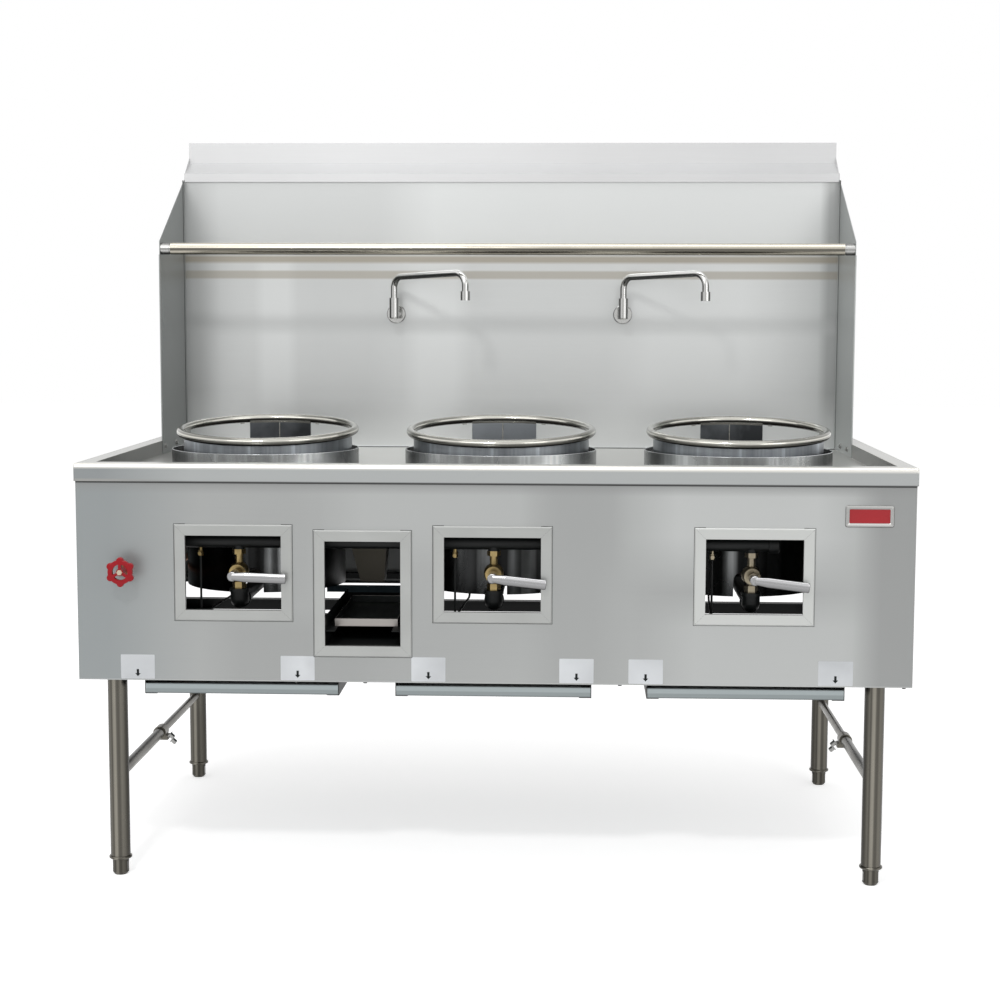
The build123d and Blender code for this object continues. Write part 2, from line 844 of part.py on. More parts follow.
# ================================================================ water valve, handwheel, pipes
with BuildPart() as water_valve:
    with BuildSketch(facing(panel_back)):
        with Locations((water_x, water_z)):
            RegularPolygon(valve_seat_r, 6)
    extrude(amount=-2 * bar_proud)
    with BuildSketch(facing(gland_front)):
        with Locations((water_x, water_z)):
            Circle(gland_r)
    extrude(amount=gland_front - panel_back)
    with BuildSketch(facing(panel_back)):
        with Locations((water_x, water_z)):
            Circle(valve_body_r)
    extrude(amount=panel_back - valve_back)
    with BuildSketch(level(water_z - port_reach)):
        with Locations((water_x, port_d)):
            Circle(port_r)
    extrude(amount=2 * port_reach)
    with BuildSketch(facing(gland_front)):
        with Locations((water_x, water_z)):
            Circle(stem_r + fit)
    extrude(amount=gland_front - panel_back - valve_body_r, mode=Mode.SUBTRACT)
save(water_valve, "water_valve")

supply_run = tube_run(
    [(water_x, port_d, water_z - port_reach), (water_x, port_d, supply_z), (water_x, inlet_d, supply_z)],
    water_pipe_r * 1.5,
    water_pipe_r,
)
faucet_run = tube_run(
    [
        (water_x, port_d, water_z + port_reach),
        (water_x, port_d, riser_turn_z),
        (water_x, pipe_d, riser_turn_z),
        (water_x, pipe_d, faucet_z),
        (faucet_x + 2 * water_pipe_r, pipe_d, faucet_z),
    ],
    [water_bend, water_bend, water_bend],
    water_pipe_r,
)
with BuildPart() as water_pipes:
    add(supply_run)
    add(faucet_run)
save(water_pipes, "water_pipes")

wheel_back = wheel_nut + wheel_thick - wheel_front
with BuildPart() as handwheel:
    with BuildSketch(facing(wheel_back)):
        with Locations((water_x, water_z)):
            Circle(wheel_web_r)
            with PolarLocations(wheel_lobe_out, 6, start_angle=30):
                Circle(wheel_lobe_r)
            Circle(wheel_bore_r, mode=Mode.SUBTRACT)
            Circle(wheel_hub_r)
            with PolarLocations(wheel_bore_r / 2, 3, start_angle=90):
                Rectangle(wheel_bore_r * 1.2, wheel_spoke)
    extrude(amount=wheel_thick)
    rim_edges = handwheel.faces().sort_by(Axis.Y)[0].outer_wire().edges()
    fillet(rim_edges, wheel_thick / 4)
    with BuildSketch(facing(wheel_back - wheel_thick)):
        with Locations((water_x, water_z)):
            RegularPolygon(wheel_hub_r * 0.75, 6)
    extrude(amount=wheel_nut)
    with BuildSketch(facing(wheel_back)):
        with Locations((water_x, water_z)):
            Circle(wheel_hub_r)
    extrude(amount=wheel_back - gland_front + wheel_hub_play)
    with BuildSketch(facing(wheel_back)):
        with Locations((water_x, water_z)):
            Circle(stem_r)
    extrude(amount=wheel_back - panel_back - valve_body_r + gap)
save(handwheel, "handwheel")

# ================================================================ splash back
slope = (riser_foot_z - cap_lip_top) / (splash_deep + cap_lip_out)
slope_drop = sheet * math.sqrt(1 + slope * slope)
with BuildPart() as back_panel:
    with BuildSketch(Plane.YZ):
        with BuildLine():
            Polyline(
                *depths(
                    [
                        (back_d - back_foot, deck_z),
                        (back_d + sheet, deck_z),
                        (back_d + sheet, cap_lip_top + slope * cap_lip_out - slope_drop - gap),
                    ]
                )
            )
            offset(amount=sheet, side=Side.LEFT, kind=Kind.INTERSECTION)
        make_face()
    extrude(amount=wing_in, both=True)
    with BuildSketch(facing(back_d)):
        with Locations((-faucet_x, faucet_z), (faucet_x, faucet_z)):
            Circle(faucet_arm_r + gap)
    extrude(amount=-2 * sheet, mode=Mode.SUBTRACT)
save(back_panel, "back_panel")

with BuildPart() as wing_right:
    with BuildSketch(Plane.YZ.offset(wing_in)):
        with BuildLine():
            Polyline(
                *depths(
                    [
                        (wing_front, deck_z),
                        (back_d + 2 * sheet, deck_z),
                        (back_d + 2 * sheet, wing_top_z),
                        (back_d, wing_top_z),
                        (wing_front, wing_corner_z),
                    ]
                ),
                close=True,
            )
        make_face()
    extrude(amount=sheet)
    block(
        wing_in, wing_in - rear_hem, back_d + sheet, back_d + 2 * sheet,
        deck_z, cap_lip_bottom,
    )
    block(basin_half, basin_half + sheet, wing_front, wing_front + wing_hem, rim_top + gap, rail_z - rail_r)
save(wing_right, "wing_right")

with BuildPart() as wing_left:
    mirror(wing_right.part, about=Plane.YZ)
save(wing_left, "wing_left")

lip_d = back_d - cap_lip_out
riser_d = back_d + splash_deep
with BuildPart() as top_cap:
    with BuildSketch(Plane.YZ):
        with BuildLine():
            Polyline(
                *depths(
                    [
                        (back_d, cap_lip_bottom),
                        (lip_d, cap_lip_bottom),
                        (lip_d, cap_lip_top),
                        (riser_d, riser_foot_z),
                        (riser_d, riser_foot_z - slope_drop),
                        (lip_d + sheet, cap_lip_top + slope * sheet - slope_drop),
                        (lip_d + sheet, cap_lip_bottom + sheet),
                        (back_d, cap_lip_bottom + sheet),
                    ]
                ),
                close=True,
            )
        make_face()
    extrude(amount=cap_half, both=True)
    for side in (-1, 1):
        with BuildSketch(Plane.YZ.offset(side * (cap_half - sheet / 2) - sheet / 2)):
            with BuildLine():
                Polyline(
                    *depths(
                        [
                            (lip_d, cap_lip_bottom),
                            (lip_d, cap_lip_top),
                            (riser_d, riser_foot_z + gusset_rise),
                            (riser_d, riser_foot_z - slope_drop),
                            (lip_d + sheet, cap_lip_top + slope * sheet - slope_drop),
                            (lip_d + sheet, cap_lip_bottom),
                        ]
                    ),
                    close=True,
                )
            make_face()
        extrude(amount=sheet)
save(top_cap, "top_cap")

with BuildPart() as rear_cover:
    with BuildSketch(Plane.YZ):
        with BuildLine():
            Polyline(
                *depths(
                    [
                        (riser_d, rim_bottom),
                        (riser_d, overall_high),
                        (riser_d + 2 * sheet, overall_high),
                        (riser_d + 2 * sheet, overall_high - rear_hem),
                        (riser_d + sheet, overall_high - rear_hem),
                        (riser_d + sheet, rim_bottom),
                    ]
                ),
                close=True,
            )
        make_face()
    extrude(amount=cap_half, both=True)
    for side in (-1, 1):
        block(
            side * (cap_half - sheet), side * cap_half, back_d + 2 * sheet, riser_d,
            deck_z, cap_lip_bottom,
        )
save(rear_cover, "rear_cover")

with BuildPart() as back_stiffeners:
    for x in post_x:
        with BuildSketch(level(deck_z)):
            with BuildLine():
                Polyline(
                    (x - post_wide / 2, back_d + sheet),
                    (x + post_wide / 2, back_d + sheet),
                    (x + post_wide / 2, back_d + sheet + post_deep),
                    (x - post_wide / 2, back_d + sheet + post_deep),
                )
                offset(amount=sheet, side=Side.LEFT, kind=Kind.INTERSECTION)
            make_face()
        extrude(amount=cap_lip_bottom - deck_z)
save(back_stiffeners, "back_stiffeners")

rail_half = wing_in - socket_long - socket_groove
with BuildPart() as pot_rail:
    with BuildSketch(Plane.YZ):
        with Locations((y(rail_d), rail_z)):
            Circle(rail_r)
            Circle(rail_r - rail_tube, mode=Mode.SUBTRACT)
    extrude(amount=rail_half, both=True)
save(pot_rail, "pot_rail")

with BuildPart() as rail_sockets:
    for side in (-1, 1):
        with BuildSketch(Plane.YZ.offset(side * wing_in)):
            with Locations((y(rail_d), rail_z)):
                Circle(rail_r)
        extrude(amount=-side * socket_long)
        with BuildSketch(Plane.YZ.offset(side * wing_in)):
            with Locations((y(rail_d), rail_z)):
                Circle(rail_r - rail_tube - fit)
        extrude(amount=-side * (socket_long + socket_groove + spigot_long))
save(rail_sockets, "rail_sockets")

# ================================================================ faucets
swivel_d = back_d - faucet_out
with BuildPart() as faucet_bodies:
    for x in (-faucet_x, faucet_x):
        with BuildSketch(facing(back_d)):
            with Locations((x, faucet_z)):
                Circle(flange_r)
        extrude(amount=flange_thick, taper=20)
        with BuildSketch(facing(pipe_d - water_pipe_r)):
            with Locations((x, faucet_z)):
                Circle(faucet_arm_r)
        extrude(amount=pipe_d - water_pipe_r - swivel_d)
        with BuildSketch(level(socket_bottom)):
            with Locations((x, swivel_d)):
                Circle(socket_r)
        extrude(amount=socket_top - socket_bottom)
    fillet(faucet_bodies.faces().sort_by(Axis.Z)[:2].edges(), socket_r / 3)
    for x in (-faucet_x, faucet_x):
        with BuildSketch(level(socket_bore_floor)):
            with Locations((x, swivel_d)):
                Circle(spout_r + fit)
        extrude(amount=socket_top - socket_bore_floor, mode=Mode.SUBTRACT)
save(faucet_bodies, "faucet_bodies")

for name, x in (("left", -faucet_x), ("right", faucet_x)):
    reach_x = math.cos(math.radians(spout_turn))
    reach_d = -math.sin(math.radians(spout_turn))
    tip = (x + spout_reach * reach_x, swivel_d + spout_reach * reach_d)
    spout_run = tube_run(
        [
            (x, swivel_d, socket_bore_floor + gap),
            (x, swivel_d, spout_shoulder_z),
            (tip[0], tip[1], spout_end_z),
            (tip[0], tip[1], aerator_bottom + aerator_bevel),
        ],
        list(spout_bends),
        spout_r,
    )
    with BuildPart() as spout:
        add(spout_run)
        with BuildSketch(level(aerator_bottom)):
            with Locations(tip):
                Circle(aerator_r)
        extrude(amount=aerator_top - aerator_bottom)
        chamfer(spout.faces().sort_by(Axis.Z)[0].edges(), aerator_bevel)
        with BuildSketch(level(aerator_bottom)):
            with Locations(tip):
                Circle(aerator_bore)
        extrude(amount=aerator_bore_deep, mode=Mode.SUBTRACT)
    save(spout, f"spout_{name}")

# ================================================================ drip trays and runners
for name, x in zip(sides, drip_centres):
    x0 = x - drip_wide / 2
    x1 = x + drip_wide / 2
    drip_rear = drip_front + drip_long
    drip_top = drip_bottom + drip_high
    with BuildPart() as drip_tray:
        block(x0, x1, drip_front, drip_rear, drip_bottom, drip_top)
        block(
            x0 + tray_sheet, x1 - tray_sheet, drip_front + tray_sheet, drip_rear - tray_sheet,
            drip_bottom + tray_sheet, drip_top, Mode.SUBTRACT,
        )
        block(
            x0 + tray_sheet, x1 - tray_sheet, drip_front + tray_sheet, drip_front + drip_lip,
            drip_top - tray_sheet, drip_top,
        )
        chamfer(drip_tray.edges().filter_by(Axis.X).sort_by(Axis.Y)[:2], tray_sheet / 2)
    save(drip_tray, f"drip_tray_{name}")

with BuildPart() as tray_runners:
    for x in drip_centres:
        for side in (-1, 1):
            web = x + side * (drip_wide / 2 + runner_side_gap + sheet)
            with BuildSketch(facing(runner_front)):
                with BuildLine():
                    Polyline(
                        (web - side * runner_flange, panel_bottom),
                        (web, panel_bottom),
                        (web, drip_bottom - gap - sheet),
                        (web - side * runner_lip, drip_bottom - gap - sheet),
                    )
                    offset(
                        amount=sheet,
                        side=Side.RIGHT if side > 0 else Side.LEFT,
                        kind=Kind.INTERSECTION,
                    )
                make_face()
            extrude(amount=runner_front - cross_rail_d - rail_wide)
save(tray_runners, "tray_runners")

# ================================================================ waste tray, housing and chute
housing_floor = hatch_z - hatch_high / 2 - sheet - gap
with BuildPart() as tray_housing:
    with BuildSketch(facing(panel_back)):
        with BuildLine():
            Polyline(
                (hatch_x - housing_wide / 2 - sheet, housing_top),
                (hatch_x - housing_wide / 2 - sheet, housing_floor - sheet),
                (hatch_x + housing_wide / 2 + sheet, housing_floor - sheet),
                (hatch_x + housing_wide / 2 + sheet, housing_top),
            )
            offset(amount=sheet, side=Side.LEFT, kind=Kind.INTERSECTION)
        make_face()
    extrude(amount=panel_back - housing_long)
    block(
        hatch_x - housing_wide / 2 - sheet, hatch_x + housing_wide / 2 + sheet,
        housing_long, housing_long + sheet, housing_floor - sheet, crossbar_z + crossbar,
    )
    block(
        hatch_x - crossbar_wide / 2, hatch_x + crossbar_wide / 2,
        housing_long + sheet, housing_long + sheet + crossbar, crossbar_z, crossbar_z + crossbar,
    )
    for side in (-1, 1):
        wall = hatch_x + side * housing_wide / 2
        block(
            wall, wall + side * (sheet + housing_ear), panel_back, panel_back + sheet,
            housing_floor - sheet, housing_top,
        )
        block(
            wall, wall - side * guide_wide, panel_back + lip_deep, housing_long,
            waste_bottom - gap - sheet, waste_bottom - gap,
        )
save(tray_housing, "tray_housing")

with BuildPart() as waste_tray:
    block(
        hatch_x - waste_wide / 2, hatch_x + waste_wide / 2, waste_front, waste_front + waste_long,
        waste_bottom, waste_bottom + waste_high,
    )
    block(
        hatch_x - waste_wide / 2 + tray_sheet, hatch_x + waste_wide / 2 - tray_sheet,
        waste_front + tray_sheet, waste_front + waste_long - tray_sheet,
        waste_bottom + tray_sheet, waste_bottom + waste_high, Mode.SUBTRACT,
    )
    block(
        hatch_x - waste_wide / 2 + tray_sheet, hatch_x + waste_wide / 2 - tray_sheet,
        waste_front + tray_sheet, waste_front + waste_hem,
        waste_bottom + waste_high - tray_sheet, waste_bottom + waste_high,
    )
save(waste_tray, "waste_tray")

with BuildPart() as drain_chute:
    with BuildSketch(level(deck_z - sheet)):
        with Locations((chute_x, chute_d)):
            Rectangle(*chute_top)
    with BuildSketch(level(chute_bottom)):
        with Locations((hatch_x, chute_d)):
            Rectangle(*chute_low)
    loft()
    with BuildSketch(level(deck_z - sheet)):
        with Locations((chute_x, chute_d)):
            Rectangle(chute_top[0] + 2 * chute_flange, chute_top[1] + 2 * chute_flange)
    extrude(amount=-sheet)
    with BuildSketch(level(deck_z - sheet)):
        with Locations((chute_x, chute_d)):
            Rectangle(chute_top[0] - 2 * sheet, chute_top[1] - 2 * sheet)
    with BuildSketch(level(chute_bottom)):
        with Locations((hatch_x, chute_d)):
            Rectangle(chute_low[0] - 2 * sheet, chute_low[1] - 2 * sheet)
    loft(mode=Mode.SUBTRACT)
save(drain_chute, "drain_chute")

# ================================================================ stand
feet = [
    (f"{row}_{side}", x, d)
    for row, d in (("front", leg_front_d), ("rear", leg_rear_d))
    for side, x in (("left", -leg_x), ("right", leg_x))
]
with BuildPart() as legs:
    for label, x, d in feet:
        add(
            turned(
                [
                    (foot_stem_r + fit, leg_foot),
                    (bead_r - bead_high / 4, leg_foot),
                    (bead_r, leg_foot + bead_high / 4),
                    (bead_r, leg_foot + bead_high * 3 / 4),
                    (bead_r - bead_high / 4, leg_foot + bead_high),
                    (leg_r, leg_foot + bead_high),
                    (leg_r, rail_z0),
                    (leg_r - leg_wall, rail_z0),
                    (leg_r - leg_wall, leg_foot + plug_high),
                    (foot_stem_r + fit, leg_foot + plug_high),
                ],
                x,
                d,
            )
        )
save(legs, "legs")

for label, x, d in feet:
    with BuildPart() as foot:
        add(
            turned(
                [
                    (0, 0),
                    (foot_toe_r, 0),
                    (foot_r, foot_toe),
                    (foot_r, foot_high),
                    (foot_stem_r, foot_high),
                    (foot_stem_r, foot_high + foot_stem),
                    (0, foot_high + foot_stem),
                ],
                x,
                d,
            )
        )
        for side in (-1, 1):
            block(
                x + side * foot_flat / 2, x + side * 2 * foot_r, d - foot_r, d + foot_r,
                foot_toe, foot_high * 0.8, Mode.SUBTRACT,
            )
    save(foot, f"foot_{label}")

for name, x in (("left", -leg_x), ("right", leg_x)):
    with BuildPart() as brace:
        with BuildSketch(facing(leg_front_d)):
            with Locations((x, brace_z)):
                Circle(brace_front_r)
        extrude(amount=leg_front_d - brace_overlap_to)
        with BuildSketch(facing(leg_front_d)):
            with Locations((x, brace_z)):
                Circle(brace_rear_r + gap)
        extrude(amount=leg_front_d - brace_overlap_to, mode=Mode.SUBTRACT)
        with BuildSketch(facing(brace_overlap_from)):
            with Locations((x, brace_z)):
                Circle(brace_rear_r)
        extrude(amount=brace_overlap_from - leg_rear_d)
        with BuildSketch(facing(brace_overlap_from)):
            with Locations((x, brace_z)):
                Circle(brace_rear_r - brace_wall)
        extrude(amount=brace_overlap_from - leg_rear_d, mode=Mode.SUBTRACT)
        with BuildSketch(level(brace_z - 2 * brace_front_r)):
            with Locations((x, leg_front_d), (x, leg_rear_d)):
                Circle(leg_r)
        extrude(amount=4 * brace_front_r, mode=Mode.SUBTRACT)
    save(brace, f"brace_{name}")

with BuildPart() as brace_clamps:
    for side in (-1, 1):
        x = side * leg_x
        with BuildSketch(facing(brace_overlap_to - clamp_long)):
            with Locations((x, brace_z)):
                Circle(brace_front_r + fit + clamp_thick)
            with Locations((x - side * clamp_ear / 2, brace_z - brace_front_r)):
                Rectangle(clamp_ear, clamp_ear_thick)
            with Locations((x, brace_z)):
                Circle(brace_front_r + fit, mode=Mode.SUBTRACT)
        extrude(amount=-clamp_long)
save(brace_clamps, "brace_clamps")
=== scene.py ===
import math

import bmesh
import bpy
from bpy.props import FloatProperty, FloatVectorProperty, IntProperty, PointerProperty
from mathutils import Matrix, Vector


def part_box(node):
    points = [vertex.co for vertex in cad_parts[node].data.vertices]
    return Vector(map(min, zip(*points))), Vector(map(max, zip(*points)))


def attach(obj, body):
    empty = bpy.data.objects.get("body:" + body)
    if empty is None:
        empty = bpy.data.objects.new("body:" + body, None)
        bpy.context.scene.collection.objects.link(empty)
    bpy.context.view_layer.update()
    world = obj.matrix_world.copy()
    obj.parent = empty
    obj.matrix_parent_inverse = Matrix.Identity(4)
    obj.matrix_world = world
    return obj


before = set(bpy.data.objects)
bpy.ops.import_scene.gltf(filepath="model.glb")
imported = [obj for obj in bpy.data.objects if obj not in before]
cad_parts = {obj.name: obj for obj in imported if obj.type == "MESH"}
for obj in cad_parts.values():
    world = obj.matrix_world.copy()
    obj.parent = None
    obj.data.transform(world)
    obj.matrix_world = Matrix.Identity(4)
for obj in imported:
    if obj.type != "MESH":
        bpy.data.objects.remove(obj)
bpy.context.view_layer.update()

bl_info = {
    "name": "Wok Range Dressing",
    "version": (1, 0, 0),
    "blender": (4, 5, 0),
    "location": "View3D > Sidebar > Wok Range",
    "description": "Finishes, fasteners, welds and stage for a three-chamber gas wok range",
    "category": "Object",
}

BODY = "range_body"
SIDES = ("left", "middle", "right")

# Places read from the frame, in metres: the low and the high corner of a node's box.
PANEL_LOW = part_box("front_panel")[0]
DECK_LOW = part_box("deck_basin")[0]
WING_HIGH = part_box("wing_right")[1]
FRAMES_LOW, FRAMES_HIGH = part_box("valve_window_frames")
HATCH_LOW, HATCH_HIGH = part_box("cleanout_frame")
CHAMBER_LOW, CHAMBER_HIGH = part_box("chamber_middle")
CLAMPS_LOW, CLAMPS_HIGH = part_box("brace_clamps")
LEGS_LOW, LEGS_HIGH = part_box("legs")
BACK_LOW, BACK_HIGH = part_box("back_panel")
RAIL_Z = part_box("pot_rail")[0].z

COLLAR_RISE = 0.038  # the chamber collars' height over the deck
CHAMBER_Y = (CHAMBER_LOW.y + CHAMBER_HIGH.y) / 2
DECK_Z = CHAMBER_HIGH.z - COLLAR_RISE
FRAME_WIDE = 0.260  # a valve window's frame, across
FRAME_BAR = 0.0245  # the frames' bars, across
PITCH = (FRAMES_HIGH.x - FRAMES_LOW.x - FRAME_WIDE) / 2
STATIONS = {side: x * PITCH for side, x in zip(SIDES, (-1, 0, 1))}
RING_Z = 0.979  # middle of a wok ring's tube, over the chamber's axis
RING_TUBE = 0.0098  # radius of that tube
RING_SLOPE = math.tan(math.radians(4.4))  # the rings lean forward
SKIRT_INSET = 0.007  # from the tube's inner side to the skirt

WING_INSIDE = WING_HIGH.x - 0.003  # inner face of the wings
SEAM_LINE = 0.0012  # radius of the splash back's seams
SEAM_OVER_DECK, SEAM_UNDER_TOP = 0.004, 0.02  # ends of its upright seams
FOOT_SEAM_INSET, FOOT_SEAM_RISE = 0.004, 0.001  # its level seam, inside the wings and over the deck
MITRE = (0.10, 0.97)  # where a mitre's line starts and ends, as a share of the bar
MITRE_LINE = 0.55  # its radius, as a share of the painted shadow lines' round the frames
RING_BEAD, RING_BEAD_STEP = 0.0014, 0.0018  # weld beads of the wok rings
TACKS = (-112, -74, 62, 90, 118)  # tack welds round a ring's skirt, in degrees from +X
TACK_HALF = 1.2  # half of a tack weld, in degrees
TACK_SUNK = 0.0004  # its middle under the tube
BADGE_X, BADGE_Z = 0.812, 0.828
STICKERS_X = (-0.781, -0.4274, -0.1398, 0.184, 0.3346, 0.7457)
STICKER_RISE = 0.003  # from the front panel's lower edge
STICKER_CORNER = 0.002  # radius
# A wing's bolts, by its side: how far behind the rim, and how high.
WING_BOLTS = {-1: ((0.732, 0.918), (0.864, 0.918)), 1: ((0.773, 0.915), (0.890, 0.915))}
CLAMP_REACH = 0.040  # from a clamp's outer side to its bolts
CLAMP_PAIR = (0.011, 0.009)  # a clamp's two bolts: half their distance, along and up
CLAMP_DROP = 0.012  # from a clamp's middle down to the middle of its bolts
CLAMP_LEAN = (0.75, -0.66)  # the clamps' bolts look inwards and down
UNDERSIDE_BOLTS_X = (-0.432, -0.280, 0.279, 0.896)
UNDERSIDE_BOLTS_BEHIND = 0.012  # from the front panel

# Lines of the brushing: the numbers are the stretch of the pattern on X, Y and Z.
ACROSS, UPRIGHT, ALONG = (1, 50, 50), (50, 50, 1), (50, 1, 50)
WHITE = (1, 1, 1, 1)
DUST = (0.55, 0.53, 0.50)
RUST = (0.11, 0.055, 0.03)
# Painted reflection of the pot rail on the back panel.
RAIL_REFLECTION_TAN = (0.33, 0.295, 0.235)

# Painted reflections of a room, as streaks round a tube or a bar, and painted gleams in the chamber shells:
# where the surface looks, from 0 to 1, and its tone.
LEG_STREAKS = (
    (0.0, 0.35), (0.10, 0.55), (0.20, 1.0), (0.28, 0.55), (0.36, 1.75), (0.46, 1.9), (0.54, 0.75),
    (0.64, 0.62), (0.74, 1.15), (0.84, 1.0), (0.93, 0.55), (1.0, 0.30),
)
RAIL_STREAKS = (
    (0.0, 1.6), (0.12, 3.0), (0.26, 3.6), (0.36, 1.0), (0.48, 0.9), (0.56, 3.8), (0.66, 5.2), (0.76, 3.6),
    (0.86, 5.0), (1.0, 4.4),
)
TAP_STREAKS = (
    (0.0, 0.35), (0.18, 0.5), (0.30, 1.5), (0.42, 0.9), (0.52, 1.3), (0.62, 2.0), (0.72, 1.7), (0.82, 0.6),
    (1.0, 0.9),
)
ARM_STREAKS = (
    (0.0, 0.22), (0.30, 0.25), (0.44, 0.45), (0.52, 1.0), (0.62, 1.7), (0.74, 2.0), (0.86, 1.4), (1.0, 2.0),
)
LEVER_STREAKS = (
    (0.0, 0.40), (0.22, 0.48), (0.36, 0.55), (0.48, 0.7), (0.58, 1.0), (0.68, 1.45), (0.80, 1.15), (1.0, 1.0),
)
RING_STREAKS = (
    (0.0, 0.18), (0.24, 0.25), (0.34, 0.75), (0.44, 1.0), (0.56, 1.5), (0.64, 3.2), (0.70, 2.6), (0.78, 1.0),
    (0.90, 1.1), (1.0, 1.6),
)
COLLAR_STREAKS = (
    (0.0, 0.35), (0.08, 0.55), (0.22, 1.05), (0.40, 0.85), (0.55, 1.0), (0.68, 1.25), (0.76, 2.0),
    (0.84, 1.5), (0.92, 0.8), (1.0, 0.3),
)
SHELL_GLEAMS = (
    (0.0, 0.6), (0.20, 1.0), (0.27, 9.0), (0.32, 3.0), (0.37, 1.5), (0.41, 22.0), (0.45, 10.0), (0.47, 1.0),
    (0.57, 1.0), (0.60, 26.0), (0.64, 12.0), (0.65, 30.0), (0.70, 34.0), (0.74, 3.0), (0.84, 6.0), (1.0, 0.6),
)

# Patches of tone on a finish: a tone of the finish's own colour, or a colour of its own; how strong it is;
# and the patch's limits on one to three axes, each as the axis, from, to and the width of the soft edge.
RIM_Z, FRONT = DECK_LOW.z, DECK_LOW.y
RIM_FACE = ("Y", FRONT - 0.01, FRONT + 0.0005, 0.001)
DECK_X = WING_HIGH.x - 0.0015
UNDER_RAIL = ("Z", 0.9, RAIL_Z, 0.02)
TRAY_LOW, TRAY_HIGH = (corner.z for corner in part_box("drip_tray_left"))
WASTE_LOW, WASTE_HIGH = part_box("waste_tray")
HOUSING_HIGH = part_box("tray_housing")[1]
WHEEL_LOW, WHEEL_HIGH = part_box("handwheel")
WHEEL_X, WHEEL_Z, NUT = (WHEEL_LOW.x + WHEEL_HIGH.x) / 2, (WHEEL_LOW.z + WHEEL_HIGH.z) / 2, 0.0075
TRAY_EDGE = 0.0012

# Front and side panels: painted shade at both ends, painted pale reflections between, painted shade and a
# dark painted shadow line under the rim, and a paler strip along the lower edge.
PANEL_BANDS = (
    ((0.262, 0.282, 0.286), 0.9, ("X", -0.95, -0.84, 0.20)),
    (1.12, 0.8, ("X", -0.28, 0.06, 0.10), ("Z", 0.80, 0.95, 0.10)),
    (0.90, 0.8, ("X", 0.14, 0.22, 0.08)),
    (1.30, 0.9, ("X", 0.40, 0.70, 0.14), ("Z", 0.78, 0.95, 0.12)),
    (1.20, 0.8, ("X", 0.44, 0.76, 0.12), ("Z", 0.40, 0.58, 0.08)),
    (0.86, 0.7, ("X", -0.55, -0.30, 0.10), ("Z", 0.40, 0.56, 0.06)),
    (0.78, 0.9, ("X", 0.84, 0.95, 0.06)),
    (0.74, 0.7, ("Z", RIM_Z - 0.006, RIM_Z + 0.02, 0.020)),
    (0.10, 0.9, ("Z", RIM_Z - 0.0035, RIM_Z + 0.02, 0.0008)),
    (1.20, 0.6, ("Z", 0.40, PANEL_LOW.z + 0.002, 0.001)),
)
# Deck basin: painted shade on the greyer face of the rim, deeper at its left end, with a dark painted shadow
# line along its lower edge; a painted highlight on its pale top edge; painted shade on the floor inside the
# rim, deeper at the left end.
DECK_BANDS = (
    ((0.37, 0.385, 0.385), 0.9, RIM_FACE),
    ((0.235, 0.252, 0.258), 0.8, RIM_FACE, ("X", -0.95, -0.86, 0.2)),
    ((0.74, 0.725, 0.68), 0.95, ("Z", RIM_Z + 0.0315, 1.0, 0.005), ("Y", FRONT - 0.01, FRONT + 0.012, 0.004)),
    ((0.10, 0.10, 0.10), 0.7, ("Z", RIM_Z - 0.01, RIM_Z + 0.0012, 0.0008), RIM_FACE),
    (
        0.40, 0.95, ("Z", DECK_Z + 0.0015, 0.9315, 0.001), ("X", -DECK_X, DECK_X, 0.0004),
        ("Y", FRONT + 0.043, 0.7, 0.0005),
    ),
    (0.62, 0.9, ("Z", DECK_Z - 0.01, DECK_Z + 0.001, 0.001), ("X", -0.90, -0.84, 0.16)),
)
# Back panel, painted light and shade: broad paler and darker tones over and under the pot rail, the rail's
# painted tan reflections, painted shade at the sides, a darker band lower down and painted light over the
# deck.
SPLASH_BANDS = (
    (1.08, 0.8, ("Z", RAIL_Z + 0.05, 1.7, 0.12), ("X", -0.25, 0.9, 0.3)),
    (0.90, 0.8, ("Z", RAIL_Z + 0.05, 1.7, 0.06), ("X", -0.9, -0.35, 0.15)),
    (0.90, 0.7, ("X", -0.52, -0.38, 0.08), UNDER_RAIL),
    (1.12, 0.7, ("X", -0.24, -0.15, 0.05), UNDER_RAIL),
    (1.10, 0.7, ("X", 0.38, 0.62, 0.12), UNDER_RAIL),
    (1.08, 0.7, ("X", -0.66, -0.60, 0.03), UNDER_RAIL),
    (0.66, 0.9, ("X", 0.85, 0.9, 0.025)),
    (0.72, 0.7, ("X", -0.9, -0.84, 0.06)),
    (RAIL_REFLECTION_TAN, 0.8, ("Z", 1.396, RAIL_Z + 0.002, 0.008)),
    (RAIL_REFLECTION_TAN, 0.6, ("Z", 1.352, 1.368, 0.005)),
    (0.88, 0.5, ("Z", 1.215, 1.235, 0.02)),
    (1.16, 0.8, ("Z", DECK_Z, DECK_Z + 0.05, 0.10)),
)
# Wings, painted light: the right one is painted paler, and so are both above the pot rail.
WING_BANDS = ((1.7, 1.0, ("X", 0.5, 1.0, 0.01)), (1.25, 0.6, ("Z", RAIL_Z, 1.7, 0.05)))
# Window frames: the right one is painted paler, like the pale reflection painted on the panel round it.
FRAME_BANDS = ((1.30, 1.0, ("X", 0.40, 0.8, 0.01)),)
# Drip trays: a painted highlight as a pale line under the upper lip, painted shade along the dark lower edge.
TRAY_BANDS = (
    (1.35, 0.8, ("Z", TRAY_HIGH - 0.010, TRAY_HIGH - 0.003, 0.002)),
    (0.45, 0.8, ("Z", TRAY_LOW - 0.01, TRAY_LOW + 0.0015, 0.001)),
)
